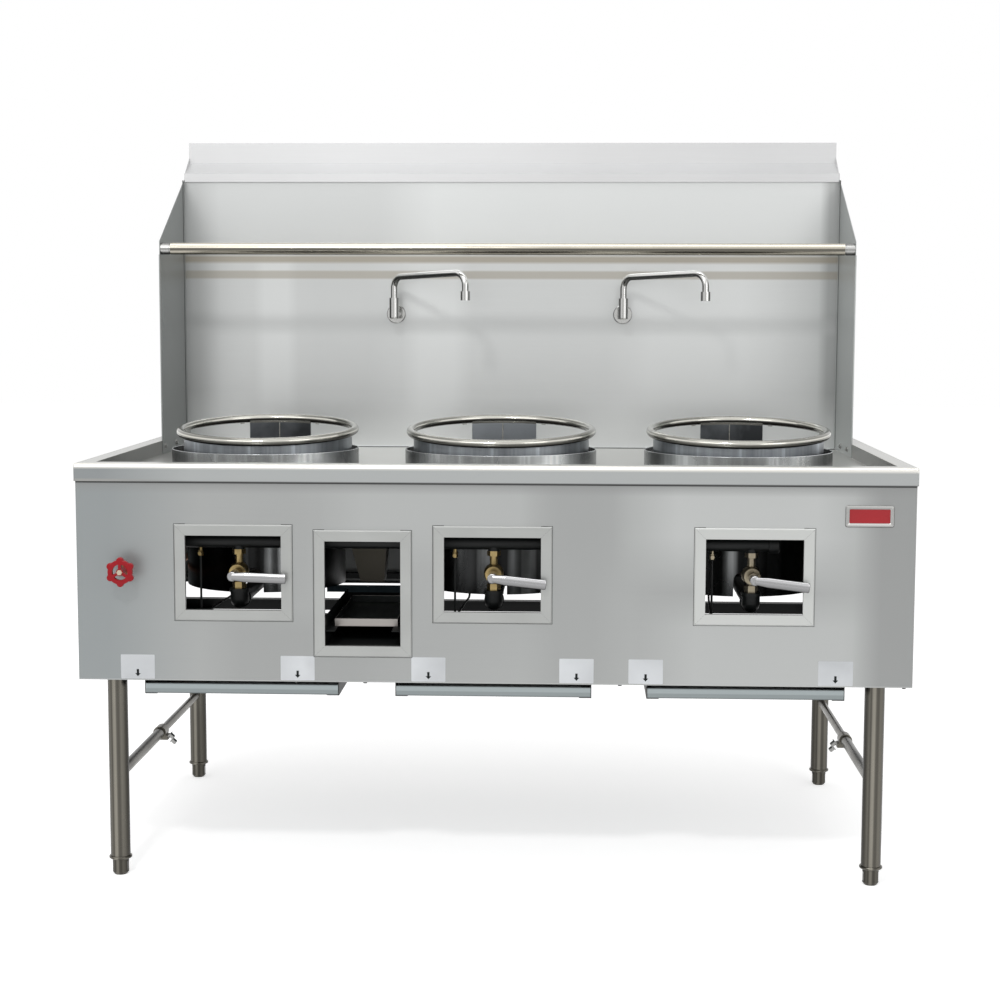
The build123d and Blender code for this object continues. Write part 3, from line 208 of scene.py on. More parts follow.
# Waste tray: painted shade inside, behind its pale front and upper edges.
BEHIND_FRONT, UNDER_EDGE = WASTE_LOW.y + TRAY_EDGE, WASTE_HIGH.z - TRAY_EDGE
WASTE_BANDS = (
    ((0.012, 0.018, 0.018), 0.95, ("Y", BEHIND_FRONT, 1.0, 0.0006), ("Z", 0.4, UNDER_EDGE, 0.0004)),
)
# Tray housing: its rear crossbar catches the light.
HOUSING_BANDS = (
    (
        (0.075, 0.115, 0.14), 0.95, ("Z", HOUSING_HIGH.z - 0.0152, HOUSING_HIGH.z + 0.01, 0.0002),
        ("Y", HOUSING_HIGH.y - 0.019, 0.9, 0.001),
    ),
)
# Handwheel: bare metal nut at its middle.
WHEEL_BANDS = (
    (
        (0.62, 0.55, 0.42), 0.9, ("X", WHEEL_X - NUT, WHEEL_X + NUT, 0.001),
        ("Z", WHEEL_Z - NUT, WHEEL_Z + NUT, 0.001), ("Y", -1.0, WHEEL_LOW.y + 0.0036, 0.0002),
    ),
)


# ---------------------------------------------------------------- settings
def colour(name, description, value):
    """Setting for a colour."""
    return FloatVectorProperty(name=name, description=description, subtype="COLOR", default=value)


def number(name, description, value, **kind):
    """Setting for an angle, a power or a strength."""
    return FloatProperty(name=name, description=description, default=value, **kind)


def length(name, description, value):
    """Setting for a length in metres."""
    return number(name, description, value, unit="LENGTH")


class WOKRANGE_stage_settings(bpy.types.PropertyGroup):
    """Camera, floor and lamps."""

    camera_at: FloatVectorProperty(
        name="Camera place", description="Where the camera stands", subtype="TRANSLATION", unit="LENGTH",
        default=(0.17242, -4.48866, 1.26842),
    )
    camera_yaw: number("Camera yaw", "Turn to the left", 0.03925, subtype="ANGLE")
    camera_pitch: number("Camera pitch", "Tilt below the horizon", math.radians(5.882), subtype="ANGLE")
    camera_roll: number("Camera roll", "Turn about the view", 0.00272, subtype="ANGLE")
    lens: number("Lens", "Focal length on a 36 mm sensor", 66.6, subtype="DISTANCE_CAMERA")
    floor_size: length("Floor size", "Side of the floor", 40.0)
    floor_colour: colour("Floor colour", "Colour of the floor", (0.93, 0.93, 0.93))
    floor_glow: number("Floor glow", "White that the floor shows of itself", 0.6, min=0)
    sky: number("Ambient light", "Strength of the even light", 0.46, min=0)
    key: number("Key lamp", "Power of the large lamp at the left", 22, subtype="POWER")
    fill: number("Fill lamp", "Power of the lamp at the right", 24, subtype="POWER")
    spot: number("Spot lamp", "Power of the small high lamp", 60, subtype="POWER")
    top: number("Top lamp", "Power of the lamp overhead", 60, subtype="POWER")


class WOKRANGE_finish_settings(bpy.types.PropertyGroup):
    """Colours of the metals and paints."""

    # Painted light and shade: body, deck, frame, splash, wing and cap steel are one stainless steel in
    # lighter and darker tones by area, the wings darkest; tube_steel is painted dark as a reflection of a
    # dark room.
    body_steel: colour("Body steel", "Front and side panels", (0.350, 0.358, 0.354))
    deck_steel: colour("Deck steel", "Cooking deck and its rim", (0.52, 0.52, 0.50))
    frame_steel: colour("Frame steel", "Bars round the windows", (0.38, 0.388, 0.378))
    splash_steel: colour("Splash steel", "Back panel", (0.60, 0.612, 0.607))
    wing_steel: colour("Wing steel", "Side wings of the splash back", (0.25, 0.262, 0.258))
    cap_steel: colour("Cap steel", "Top cap and riser", (0.60, 0.602, 0.605))
    tube_steel: colour("Tube steel", "Legs, braces and pot rail", (0.115, 0.108, 0.092))
    ring_steel: colour("Ring steel", "Wok rings", (0.24, 0.236, 0.215))
    skirt_steel: colour("Skirt steel", "Skirts of the wok rings", (0.30, 0.322, 0.345))
    collar_steel: colour("Collar steel", "Chamber collars and shells", (0.47, 0.485, 0.49))
    tray_steel: colour("Tray metal", "Drip trays", (0.235, 0.263, 0.268))
    waste_steel: colour("Waste tray", "Tray behind the clean-out window", (0.36, 0.34, 0.32))
    chrome: colour("Chrome", "Taps, sockets and badge rim", (0.42, 0.42, 0.41))
    aluminium: colour("Aluminium", "Lever handles", (0.40, 0.40, 0.405))
    brass: colour("Brass", "Valve bodies", (0.38, 0.285, 0.13))
    copper: colour("Copper", "Water pipes", (0.55, 0.27, 0.17))
    black: colour("Black paint", "Gas pipe and tray housing", (0.006, 0.007, 0.007))
    iron: colour("Cast iron", "Linings and burners", (0.045, 0.043, 0.040))
    red: colour("Red enamel", "Handwheel and badge field", (0.35, 0.008, 0.014))
    paper: colour("Paper", "Blank stickers", (0.66, 0.68, 0.70))


class WOKRANGE_detail_settings(bpy.types.PropertyGroup):
    """Sizes of the small pieces."""

    badge_width: length("Badge width", "Over the chrome rim", 0.105)
    badge_height: length("Badge height", "Over the chrome rim", 0.048)
    badge_rim: length("Badge rim", "Width of the chrome bevel", 0.009)
    sticker_width: length("Sticker width", "Width of a blank sticker", 0.075)
    sticker_height: length("Sticker height", "Height of a blank sticker", 0.054)
    arrow: length("Arrow", "Height of a sticker's arrow", 0.016)
    # Radius of the painted shadow lines round the window frames; the mitre lines take a share of it.
    shadow_and_mitre_line: length("Joint line", "Radius of the dark joint lines", 0.0013)
    bolt_head: length("Bolt head", "Radius of the panel bolts", 0.0055)
    clamp_bolt: length("Clamp bolt", "Radius of the brace clamps' bolts", 0.0065)
    bead: length("Weld bead", "Radius of the weld beads", 0.0022)
    bead_step: length("Weld step", "Distance between weld ripples", 0.0024)
    seed: IntProperty(name="Seed", description="Changes the ripples of the welds", default=7)


# ---------------------------------------------------------------- node helpers
class Nodes:
    """A node tree under construction. Most methods add nodes and return the socket with the result."""

    def __init__(self, tree):
        self.tree = tree

    def feed(self, entry, value):
        """Fill an input: a socket is linked to it, None leaves it alone, and the rest is a plain value."""
        if isinstance(value, bpy.types.NodeSocket):
            self.tree.links.new(value, entry)
        elif value is not None:
            entry.default_value = value

    def put(self, kind, *feeds, **settings):
        """Add a node. A setting named after an input fills it and any other sets the node itself;
        feeds then fill the inputs in their order."""
        made = self.tree.nodes.new(kind)
        for name, value in settings.items():
            label = name.replace("_", " ")
            if label in made.inputs:
                self.feed(made.inputs[label], value)
            else:
                setattr(made, name, value)
        for entry, value in zip(made.inputs, feeds):
            self.feed(entry, value)
        return made

    def calc(self, operation, *values, clamp=False):
        """Result of a sum."""
        return self.put("ShaderNodeMath", *values, operation=operation, use_clamp=clamp).outputs[0]

    def spread(self, value, low, high, to_low=0.0, to_high=1.0):
        """A value brought from one range to another, and kept inside it."""
        made = self.put("ShaderNodeMapRange", Value=value, From_Min=low, From_Max=high)
        self.feed(made.inputs["To Min"], to_low)
        self.feed(made.inputs["To Max"], to_high)
        return made.outputs[0]

    def between(self, mask, low, high):
        """A value that runs from low to high with a mask."""
        return self.spread(mask, 0.0, 1.0, low, high)

    def noise(self, place, scale, detail, rough=0.5, twist=0.0):
        """Cloudy noise from 0 to 1."""
        made = self.put("ShaderNodeTexNoise", Vector=place, Scale=scale, Detail=detail)
        self.feed(made.inputs["Roughness"], rough)
        self.feed(made.inputs["Distortion"], twist)
        return made.outputs["Fac"]

    def part(self, vector, axis):
        """One axis of a vector."""
        return self.put("ShaderNodeSeparateXYZ", vector).outputs[axis]

    def mean(self, share, first, second):
        """A value between two."""
        return self.put("ShaderNodeMix", share, None, first, second, data_type="FLOAT").outputs[0]

    def blend(self, factor, first, second, kind="MIX"):
        """A colour between two, or with another kind of blend."""
        made = self.put("ShaderNodeMix", data_type="RGBA", blend_type=kind, Factor=factor)
        self.feed(made.inputs[6], first)
        self.feed(made.inputs[7], second)
        return made.outputs[2]

    def signed(self, value, low, high, strength):
        """Noise between low and high as a tone about the middle, by a strength."""
        swing = self.calc("MULTIPLY", self.spread(value, low, high, -0.5, 0.5), strength)
        return self.calc("ADD", swing, 0.5, clamp=True)


def node_group(kind, name, inputs, outputs):
    """Node group with named inputs (label, socket, default) and outputs (label, socket)."""
    tree = bpy.data.node_groups.new(name, kind)
    for label, socket, value in inputs:
        made = tree.interface.new_socket(name=label, in_out="INPUT", socket_type="NodeSocket" + socket)
        if value is not None:
            made.default_value = value
    for label, socket in outputs:
        tree.interface.new_socket(name=label, in_out="OUTPUT", socket_type="NodeSocket" + socket)
    n = Nodes(tree)
    return n, n.put("NodeGroupInput").outputs, n.put("NodeGroupOutput").inputs


def grain_group():
    """Fine lines of brushed or drawn metal, from a place already stretched along the lines."""
    n, given, out = node_group(
        "ShaderNodeTree", "Brushed lines",
        (("Vector", "Vector", None), ("Fineness", "Float", 60.0), ("Depth", "Float", 0.3)),
        (("Tone", "Float"), ("Height", "Float")),
    )
    coarser = n.calc("MULTIPLY", given["Fineness"], 0.22)
    fine = n.noise(given["Vector"], given["Fineness"], 3.0, 0.65)
    lines = n.mean(0.4, fine, n.noise(given["Vector"], coarser, 1.0))
    n.feed(out["Tone"], n.signed(lines, 0.3, 0.7, given["Depth"]))
    n.feed(out["Height"], lines)


def cloud_group():
    """Soft uneven patches, as rolling, wiping and handling leave on sheet metal."""
    n, given, out = node_group(
        "ShaderNodeTree", "Soft patches",
        (("Vector", "Vector", None), ("Size", "Float", 2.0), ("Contrast", "Float", 0.5)),
        (("Mask", "Float"),),
    )
    cloud = n.noise(given["Vector"], given["Size"], 4.0, 0.45, 0.4)
    n.feed(out["Mask"], n.signed(cloud, 0.32, 0.68, given["Contrast"]))


def dust_group():
    """Thin dust and dried drops that settle on faces that look up."""
    n, given, out = node_group(
        "ShaderNodeTree", "Settled dust",
        (("Vector", "Vector", None), ("Amount", "Float", 0.1)),
        (("Mask", "Float"),),
    )
    upward = n.spread(n.part(n.put("ShaderNodeNewGeometry").outputs["Normal"], "Z"), 0.5, 1.0)
    speckle = n.spread(n.noise(given["Vector"], 140.0, 5.0, 0.7), 0.5, 0.75)
    settled = n.calc("MULTIPLY", upward, speckle)
    n.feed(out["Mask"], n.calc("MULTIPLY", settled, given["Amount"], clamp=True))


def toned(hue, factor):
    """A colour made darker or paler."""
    return [channel * factor for channel in hue]


class Finish(Nodes):
    """A material under construction: Principled shader, Object coordinates and the shared groups."""

    def __init__(self, label):
        self.label = label
        self.material = bpy.data.materials.new(label)
        self.material.use_nodes = True
        super().__init__(self.material.node_tree)
        self.tree.nodes.clear()
        self.shader = self.put("ShaderNodeBsdfPrincipled")
        self.put("ShaderNodeOutputMaterial", Surface=self.shader.outputs[0])
        coordinates = self.put("ShaderNodeTexCoord").outputs
        self.place, self.facing = coordinates["Object"], coordinates["Normal"]

    def surface(self, **values):
        """Fill the shader's own inputs."""
        for name, value in values.items():
            self.feed(self.shader.inputs[name.replace("_", " ")], value)

    def bump(self, height, strength, distance):
        """Fine relief."""
        made = self.put("ShaderNodeBump", Height=height, Strength=strength, Distance=distance)
        self.surface(Normal=made.outputs[0])

    def group(self, name, place, **values):
        """Outputs of a shared effect with this finish's own values."""
        tree = bpy.data.node_groups[name]
        return self.put("ShaderNodeGroup", node_tree=tree, Vector=place, **values).outputs

    def brushed(self, lines, fineness, depth):
        """Brushed lines along the axis that is stretched least."""
        stretched = self.put("ShaderNodeMapping", Vector=self.place, Scale=lines).outputs[0]
        return self.group("Brushed lines", stretched, Fineness=fineness, Depth=depth)

    def patches(self, size, contrast):
        """Mask of soft patches."""
        return self.group("Soft patches", self.place, Size=size, Contrast=contrast)["Mask"]

    def shades(self, hue, mask, dark=0.86, light=1.08):
        """A darker and a lighter tone of one colour, by a mask."""
        paler = [min(channel, 1) for channel in toned(hue, light)]
        return self.blend(mask, (*toned(hue, dark), 1), (*paler, 1))

    def tint(self, below, hue, mask):
        """Lay a colour over what is there, by a mask."""
        return self.blend(mask, below, (*hue, 1))

    def times(self, below, grey):
        """What is there, made darker or paler by a grey."""
        return self.blend(1.0, below, grey, "MULTIPLY")

    def band(self, axis, low, high, soft):
        """Mask that is 1 between two places on an axis of the object, with soft ends."""
        at = self.part(self.place, axis)
        falling = self.spread(at, high, high + soft, 1.0, 0.0)
        return self.calc("MULTIPLY", self.spread(at, low - soft, low), falling)

    def bands(self, below, own, rows):
        """Patches of tone over what is there; a row starts with a tone of the own colour, or a colour."""
        for tone, amount, *limits in rows:
            mask, *others = [self.band(*limit) for limit in limits]
            for other in others:
                mask = self.calc("MULTIPLY", mask, other)
            hue = toned(own, tone) if isinstance(tone, float) else tone
            below = self.tint(below, hue, self.between(mask, 0.0, amount))
        return below

    def looks(self, axis, low=-1.0, high=1.0):
        """0 to 1 by how far the surface looks along an axis of the object."""
        return self.spread(self.part(self.facing, axis), low, high)

    def ramp(self, value, stops):
        """Grey steps along a value; stops are (place, grey)."""
        made = self.put("ShaderNodeValToRGB", value)
        steps = made.color_ramp.elements
        steps[0].position, steps[1].position = stops[0][0], stops[-1][0]
        for place, _ in stops[1:-1]:
            steps.new(place)
        for step, (_, grey) in zip(steps, stops):
            step.color = (grey, grey, grey, 1)
        return made.outputs[0]

    def streaky_reflections(self, side, scale, rough, stops):
        """Painted reflections: uneven upright streaks round a shape formed by drawing, by the way it looks.
        """
        around = self.put("ShaderNodeCombineXYZ", side).outputs[0]
        return self.ramp(self.noise(around, scale, 3.0, rough), stops)


# ---------------------------------------------------------------- finishes
def steel(label, hue, rough, lines, patch=1.6, contrast=0.5, dust=0.0, bands=()):
    """Stainless sheet: brushed lines, soft patches, bands of painted light and shade and, where it looks up,
    a little dust.
    """
    f = Finish(label)
    grain = f.brushed(lines, fineness=22, depth=0.25)
    tone = f.mean(0.5, grain["Tone"], f.patches(patch, contrast))
    base = f.bands(f.shades(hue, tone), hue, bands)
    if dust:
        base = f.tint(base, DUST, f.group("Settled dust", f.place, Amount=dust)["Mask"])
    f.surface(Base_Color=base, Metallic=0.75, Roughness=f.between(tone, rough * 0.85, rough * 1.2))
    f.bump(grain["Height"], strength=0.06, distance=0.0004)
    return f


def polished(label, hue, rough, lines=(40, 40, 1), patch=9.0, side=None, reflection_streaks=()):
    """Polished or plated metal with draw marks and finger haze; painted reflection streaks run along a tube,
    by side.
    """
    f = Finish(label)
    grain = f.brushed(lines, fineness=18, depth=0.12)
    base = f.shades(hue, grain["Tone"], 0.88, 1.08)
    if side:
        # Painted reflections round the tube, by the way it looks.
        base = f.times(base, f.ramp(f.looks(side), reflection_streaks))
    haze = f.between(f.patches(patch, 0.6), rough * 0.7, rough * 1.5)
    f.surface(Base_Color=base, Metallic=0.9, Roughness=haze)
    f.bump(grain["Height"], strength=0.04, distance=0.0003)
    return f


def paint(label, hue, rough, shine, orange_peel=90.0, coat=0.0, bands=()):
    """Paint, enamel or paper with a faint orange peel and uneven gloss."""
    f = Finish(label)
    cloud = f.patches(size=6.0, contrast=0.6)
    f.surface(
        Base_Color=f.bands(f.shades(hue, cloud, 0.8, 1.2), hue, bands),
        Roughness=f.between(cloud, rough * 0.8, rough * 1.25),
        Coat_Weight=coat, Coat_Roughness=0.06, Specular_IOR_Level=shine,
    )
    f.bump(f.noise(f.place, orange_peel, detail=2.0), strength=0.08, distance=0.0006)
    return f


def casting(label, hue, rough):
    """Rough sand-cast iron, darker in its hollows, with rust in patches."""
    f = Finish(label)
    grit = f.noise(f.place, scale=160.0, detail=6.0, rough=0.7)
    rust = f.between(f.patches(size=11.0, contrast=0.9), 0.0, 0.35)
    base = f.tint(f.shades(hue, grit, 0.6, 1.35), RUST, rust)
    f.surface(Base_Color=base, Metallic=0.35, Roughness=rough)
    f.bump(grit, strength=0.5, distance=0.0012)
    return f


def turned_metal(label, hue, rough):
    """Brass or copper: turning marks, a darker tarnish in patches and a greyer tone at the right."""
    f = Finish(label)
    grain = f.brushed((1, 30, 30), fineness=26, depth=0.5)
    tarnish = f.patches(size=24.0, contrast=0.9)
    base = f.shades(hue, grain["Tone"], 0.8, 1.12)
    base = f.tint(base, toned(hue, 0.38), f.between(tarnish, 0.0, 0.55))
    # A greyer tone over the right window.
    greyer_tone = toned((1.05, 1.0, 0.88), sum(hue) / 3)
    base = f.bands(base, hue, ((greyer_tone, 0.6, ("X", 0.4, 0.8, 0.01)),))
    f.surface(Base_Color=base, Metallic=1.0, Roughness=f.between(tarnish, rough * 0.8, rough * 1.7))
    f.bump(grain["Height"], strength=0.1, distance=0.0004)
    return f


def chamber_finish(c):
    """Chamber sheet, formed by drawing: painted bright reflection streaks on the collar; below the deck the
    same steel near-black as painted shade, with painted gleams.
    """
    f = Finish("chamber_steel")
    side = f.looks("X")
    cloud = f.patches(size=5.0, contrast=0.5)
    collar = f.shades(c.collar_steel, cloud, 0.9, 1.1)
    # Painted reflections: bright upright streaks round the collar, by the way it looks.
    collar_reflections = f.streaky_reflections(side, 9.0, 0.75, ((0.30, 0.62), (0.50, 1.0), (0.60, 1.35), (0.70, 0.9)))
    collar = f.times(collar, collar_reflections)
    collar = f.times(collar, f.ramp(side, COLLAR_STREAKS))
    # Painted shade: below the deck the collar's steel darkened to 3 per cent, lit by painted gleams by the
    # way it looks.
    shell = f.times(f.shades(toned(c.collar_steel, 0.03), cloud, 0.7, 1.4), f.ramp(side, SHELL_GLEAMS))
    # Painted shade over the right half of the right shell and the outer part of the left shell, where the
    # gleams fade to black.
    shaded_ends = ((1.0, 0.85, ("X", STATIONS["right"], 0.9, 0.01)), (1.0, 0.9, ("X", -0.9, -0.60, 0.03)))
    above = f.spread(f.part(f.place, "Z"), DECK_Z - 0.002, DECK_Z - 0.001)
    base = f.blend(above, f.bands(shell, c.black, shaded_ends), collar)
    f.surface(Base_Color=base, Metallic=0.85, Roughness=f.between(cloud, 0.2, 0.34))
    return f


def ring_finish(c):
    """Wok ring: polished warm tube with painted reflections over a blue-grey satin skirt with painted
    reflection streaks; painted shade inside the skirt at the rear, paler on the middle ring.
    """
    f = Finish("ring_steel")
    grain = f.brushed((20, 20, 60), fineness=14, depth=0.3)
    cloud = f.patches(size=12.0, contrast=0.9)
    # Painted reflections round the tube, by how far it looks up.
    tube = f.times(f.shades(c.ring_steel, grain["Tone"], 0.9, 1.08), f.ramp(f.looks("Z"), RING_STREAKS))
    # Painted reflection streaks round the outside of the skirt.
    reflection_streaks = f.streaky_reflections(f.looks("X"), 12.0, 0.7, ((0.32, 0.62), (0.48, 0.95), (0.56, 1.1), (0.66, 1.7)))
    outside = f.times(f.shades(c.skirt_steel, cloud, 0.85, 1.12), reflection_streaks)
    # Painted shade: the skirt's own steel darkened inside, at the rear, and paler on the middle ring.
    inside = f.shades(toned(c.skirt_steel, 0.27), cloud, 0.5, 1.9)
    inside = f.bands(inside, c.skirt_steel, ((1.05, 0.8, ("X", -0.15, 0.16, 0.02)),))
    rear = f.band("Y", CHAMBER_Y + 0.12, CHAMBER_Y + 0.30, 0.01)
    skirt = f.blend(f.calc("MULTIPLY", rear, f.looks("Y", -0.2, -0.6)), outside, inside)
    lean = f.calc("MULTIPLY_ADD", f.part(f.place, "Y"), -RING_SLOPE, CHAMBER_Y * RING_SLOPE - RING_Z)
    over_axis = f.calc("ADD", f.part(f.place, "Z"), lean)
    on_tube = f.spread(over_axis, -RING_TUBE - 0.0008, -RING_TUBE + 0.0002)
    base = f.blend(on_tube, skirt, tube)
    f.surface(Base_Color=base, Metallic=0.85, Roughness=f.between(on_tube, 0.36, 0.14))
    f.bump(grain["Height"], strength=0.04, distance=0.0003)
    return f


def spout_finish(c):
    """Spout chrome: painted reflection streaks, by height on the level arm and by side on its upright ends.
    """
    f = Finish("spout_chrome")
    base = f.shades(c.chrome, f.brushed((40, 40, 40), fineness=18, depth=0.12)["Tone"], 0.92, 1.06)
    arm = f.times(base, f.ramp(f.looks("Z"), ARM_STREAKS))
    ends = f.times(base, f.ramp(f.looks("X"), TAP_STREAKS))
    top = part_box("spout_left")[1].z
    base = f.blend(f.band("Z", top - 0.030, top + 0.1, 0.012), ends, arm)
    f.surface(Base_Color=base, Metallic=0.9, Roughness=0.13)
    return f


def make_finishes(c):
    """Every material, by the frame's slot name or by the name of a scene piece's finish."""
    grain_group()
    cloud_group()
    dust_group()
    panel = c.body_steel
    # Painted shade: the chute's steel is the panel's, far darker and browner.
    chute = [channel * tone for channel, tone in zip(panel, (0.13, 0.115, 0.09))]
    made = (
        steel("deck_steel", c.deck_steel, 0.32, ACROSS, dust=0.10, bands=DECK_BANDS),
        steel("panel_steel", panel, 0.42, ACROSS, 2.2, 0.8, bands=PANEL_BANDS),
        # Painted shade: the inner faces take the panel's steel darkened.
        steel("inner_steel", toned(panel, 0.45), 0.5, ACROSS),
        steel("frame_steel", c.frame_steel, 0.36, ACROSS, 7.0, 0.9, bands=FRAME_BANDS),
        steel("splash_steel", c.splash_steel, 0.34, ACROSS, 1.0, bands=SPLASH_BANDS),
        steel("wing_steel", c.wing_steel, 0.38, UPRIGHT, 1.5, bands=WING_BANDS),
        steel("cap_steel", c.cap_steel, 0.4, ACROSS),
        steel("riser_steel", toned(c.cap_steel, 0.98), 0.4, ACROSS),
        # Painted shade: the runners take the panel's steel far darker.
        steel("runner_steel", toned(panel, 0.12), 0.5, ALONG),
        steel("chute_steel", chute, 0.5, UPRIGHT, 9.0),
        steel("waste_steel", c.waste_steel, 0.34, ACROSS, 14.0, 0.9, bands=WASTE_BANDS),
        steel("tray_steel", c.tray_steel, 0.38, ACROSS, 2.5, bands=TRAY_BANDS),
        steel("clamp_steel", toned(c.tube_steel, 1.3), 0.3, ALONG, 14.0),
        chamber_finish(c),
        ring_finish(c),
        spout_finish(c),
        polished("rail_chrome", c.tube_steel, 0.16, (1, 40, 40), side="Z", reflection_streaks=RAIL_STREAKS),
        polished("socket_chrome", toned(c.chrome, 0.7), 0.2, side="Z", reflection_streaks=TAP_STREAKS),
        polished("faucet_chrome", c.chrome, 0.12, side="X", reflection_streaks=TAP_STREAKS),
        polished("leg_steel", c.tube_steel, 0.26, side="X", reflection_streaks=LEG_STREAKS),
        polished("brace_steel", c.tube_steel, 0.26, (40, 1, 40), side="Z", reflection_streaks=LEG_STREAKS),
        polished("foot_steel", toned(c.tube_steel, 0.72), 0.34, side="X", reflection_streaks=LEG_STREAKS),
        polished("lever_aluminium", c.aluminium, 0.18, (1, 40, 40), side="Z", reflection_streaks=LEVER_STREAKS),
        polished("badge_chrome", toned(c.chrome, 1.2), 0.16, side="Z", reflection_streaks=LEVER_STREAKS),
        polished("bolt_steel", toned(c.chrome, 0.8), 0.24, patch=40.0),
        # Painted shade: the underside bolts take the chrome far darker than the wing bolts.
        polished("bolt_dark", toned(c.chrome, 0.25), 0.3, patch=40.0),
        polished("bead_steel", toned(c.ring_steel, 1.3), 0.3, patch=60.0),
        paint("black_paint", c.black, 0.5, 0.25),
        paint("black_pipe", c.black, 0.42, 0.22, 140.0),
        paint("pilot_black", c.black, 0.5, 0.3),
        paint("housing_paint", c.black, 0.55, 0.2, bands=HOUSING_BANDS),
        paint("red_enamel", c.red, 0.32, 0.22, bands=WHEEL_BANDS),
        paint("badge_red", c.red, 0.4, 0.4, coat=0.15),
        paint("sticker_paper", c.paper, 0.85, 0.1, 300.0),
        paint("sticker_ink", toned(c.black, 3), 0.8, 0.1, 300.0),
        # Painted shadow: dark lines round the window frames.
        paint("joint_dark", toned(c.black, 2), 0.7, 0.2),
        paint("seam_grey", toned(panel, 0.25), 0.6, 0.2),
        casting("lining_iron", c.iron, 0.72),
        casting("burner_iron", c.iron, 0.6),
        turned_metal("valve_brass", c.brass, 0.26),
        turned_metal("copper_pipe", c.copper, 0.3),
    )
    return {finish.label: finish.material for finish in made}


# ---------------------------------------------------------------- mesh helpers
def finished(name, mesh, material, body):
    """Put a mesh into the scene as a piece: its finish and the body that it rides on."""
    made = bpy.data.objects.new(name, mesh)
    bpy.context.scene.collection.objects.link(made)
    mesh.materials.clear()
    mesh.materials.append(bpy.data.materials[material])
    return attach(made, body)


def mesh_of(name, bm):
    """Mesh of a bmesh, with outward faces."""
    bmesh.ops.remove_doubles(bm, verts=bm.verts, dist=1e-6)
    bmesh.ops.recalc_face_normals(bm, faces=bm.faces)
    mesh = bpy.data.meshes.new(name)
    bm.to_mesh(mesh)
    bm.free()
    return mesh


def rounded_outline(wide, high, corner, steps=5):
    """Points of a rectangle with round corners, in its own plane."""
    points = []
    for sx, sz, start in ((1, 1, 0), (-1, 1, 90), (-1, -1, 180), (1, -1, 270)):
        for k in range(steps + 1):
            a = math.radians(start + 90 * k / steps)
            across = sx * (wide / 2 - corner) + corner * math.cos(a)
            points.append((across, sz * (high / 2 - corner) + corner * math.sin(a)))
    return points


def raised(bm, centre, layers):
    """Closed shape that looks forwards, from layers (outline, how far it stands proud), back to front."""
    loops = [[bm.verts.new(centre + Vector((u, -proud, v))) for u, v in outline] for outline, proud in layers]
    for a, b in zip(loops, loops[1:]):
        for k in range(len(a)):
            n = (k + 1) % len(a)
            bm.faces.new((a[k], a[n], b[n], b[k]))
    bm.faces.new(loops[0])
    bm.faces.new(list(reversed(loops[-1])))


def plate(bm, centre, rings):
    """Plate with round corners, from rings (width, height, corner, proud), back to front."""
    raised(bm, centre, [(rounded_outline(wide, high, corner), proud) for wide, high, corner, proud in rings])


def points_mesh(places):
    """Vertices with a facing each, from (place, facing) pairs."""
    mesh = bpy.data.meshes.new("points")
    mesh.from_pydata([tuple(at) for at, _ in places], [], [])
    facing = mesh.attributes.new("facing", "FLOAT_VECTOR", "POINT")
    for k, (_, towards) in enumerate(places):
        facing.data[k].vector = towards
    return mesh


def path_mesh(paths):
    """Edges along each path of points."""
    mesh = bpy.data.meshes.new("paths")
    places, edges = [], []
    for path in paths:
        first = len(places)
        places += [tuple(at) for at in path]
        edges += [(k, k + 1) for k in range(first, len(places) - 1)]
    mesh.from_pydata(places, edges, [])
    return mesh


def circle(centre_x, centre_y, radius, z, steps=24):
    """Points of a level circle, closed by its first point."""
    turn = [math.radians(360 * k / steps) for k in range(steps + 1)]
    return [Vector((centre_x + radius * math.cos(a), centre_y + radius * math.sin(a), z)) for a in turn]


# ---------------------------------------------------------------- geometry nodes
def geometry_tree(name, inputs):
    """Geometry node tree that turns a start mesh into geometry with a material."""
    geometry = ("Geometry", "Geometry")
    return node_group(
        "GeometryNodeTree", name, ((*geometry, None), *inputs, ("Material", "Material", None)), (geometry,)
    )


def end_tree(n, result, given, out):
    """Every tree ends the same way: real geometry with its material."""
    real = n.put("GeometryNodeRealizeInstances", result).outputs[0]
    dressed = n.put("GeometryNodeSetMaterial", Geometry=real, Material=given["Material"])
    n.feed(out["Geometry"], dressed.outputs[0])
    return n.tree


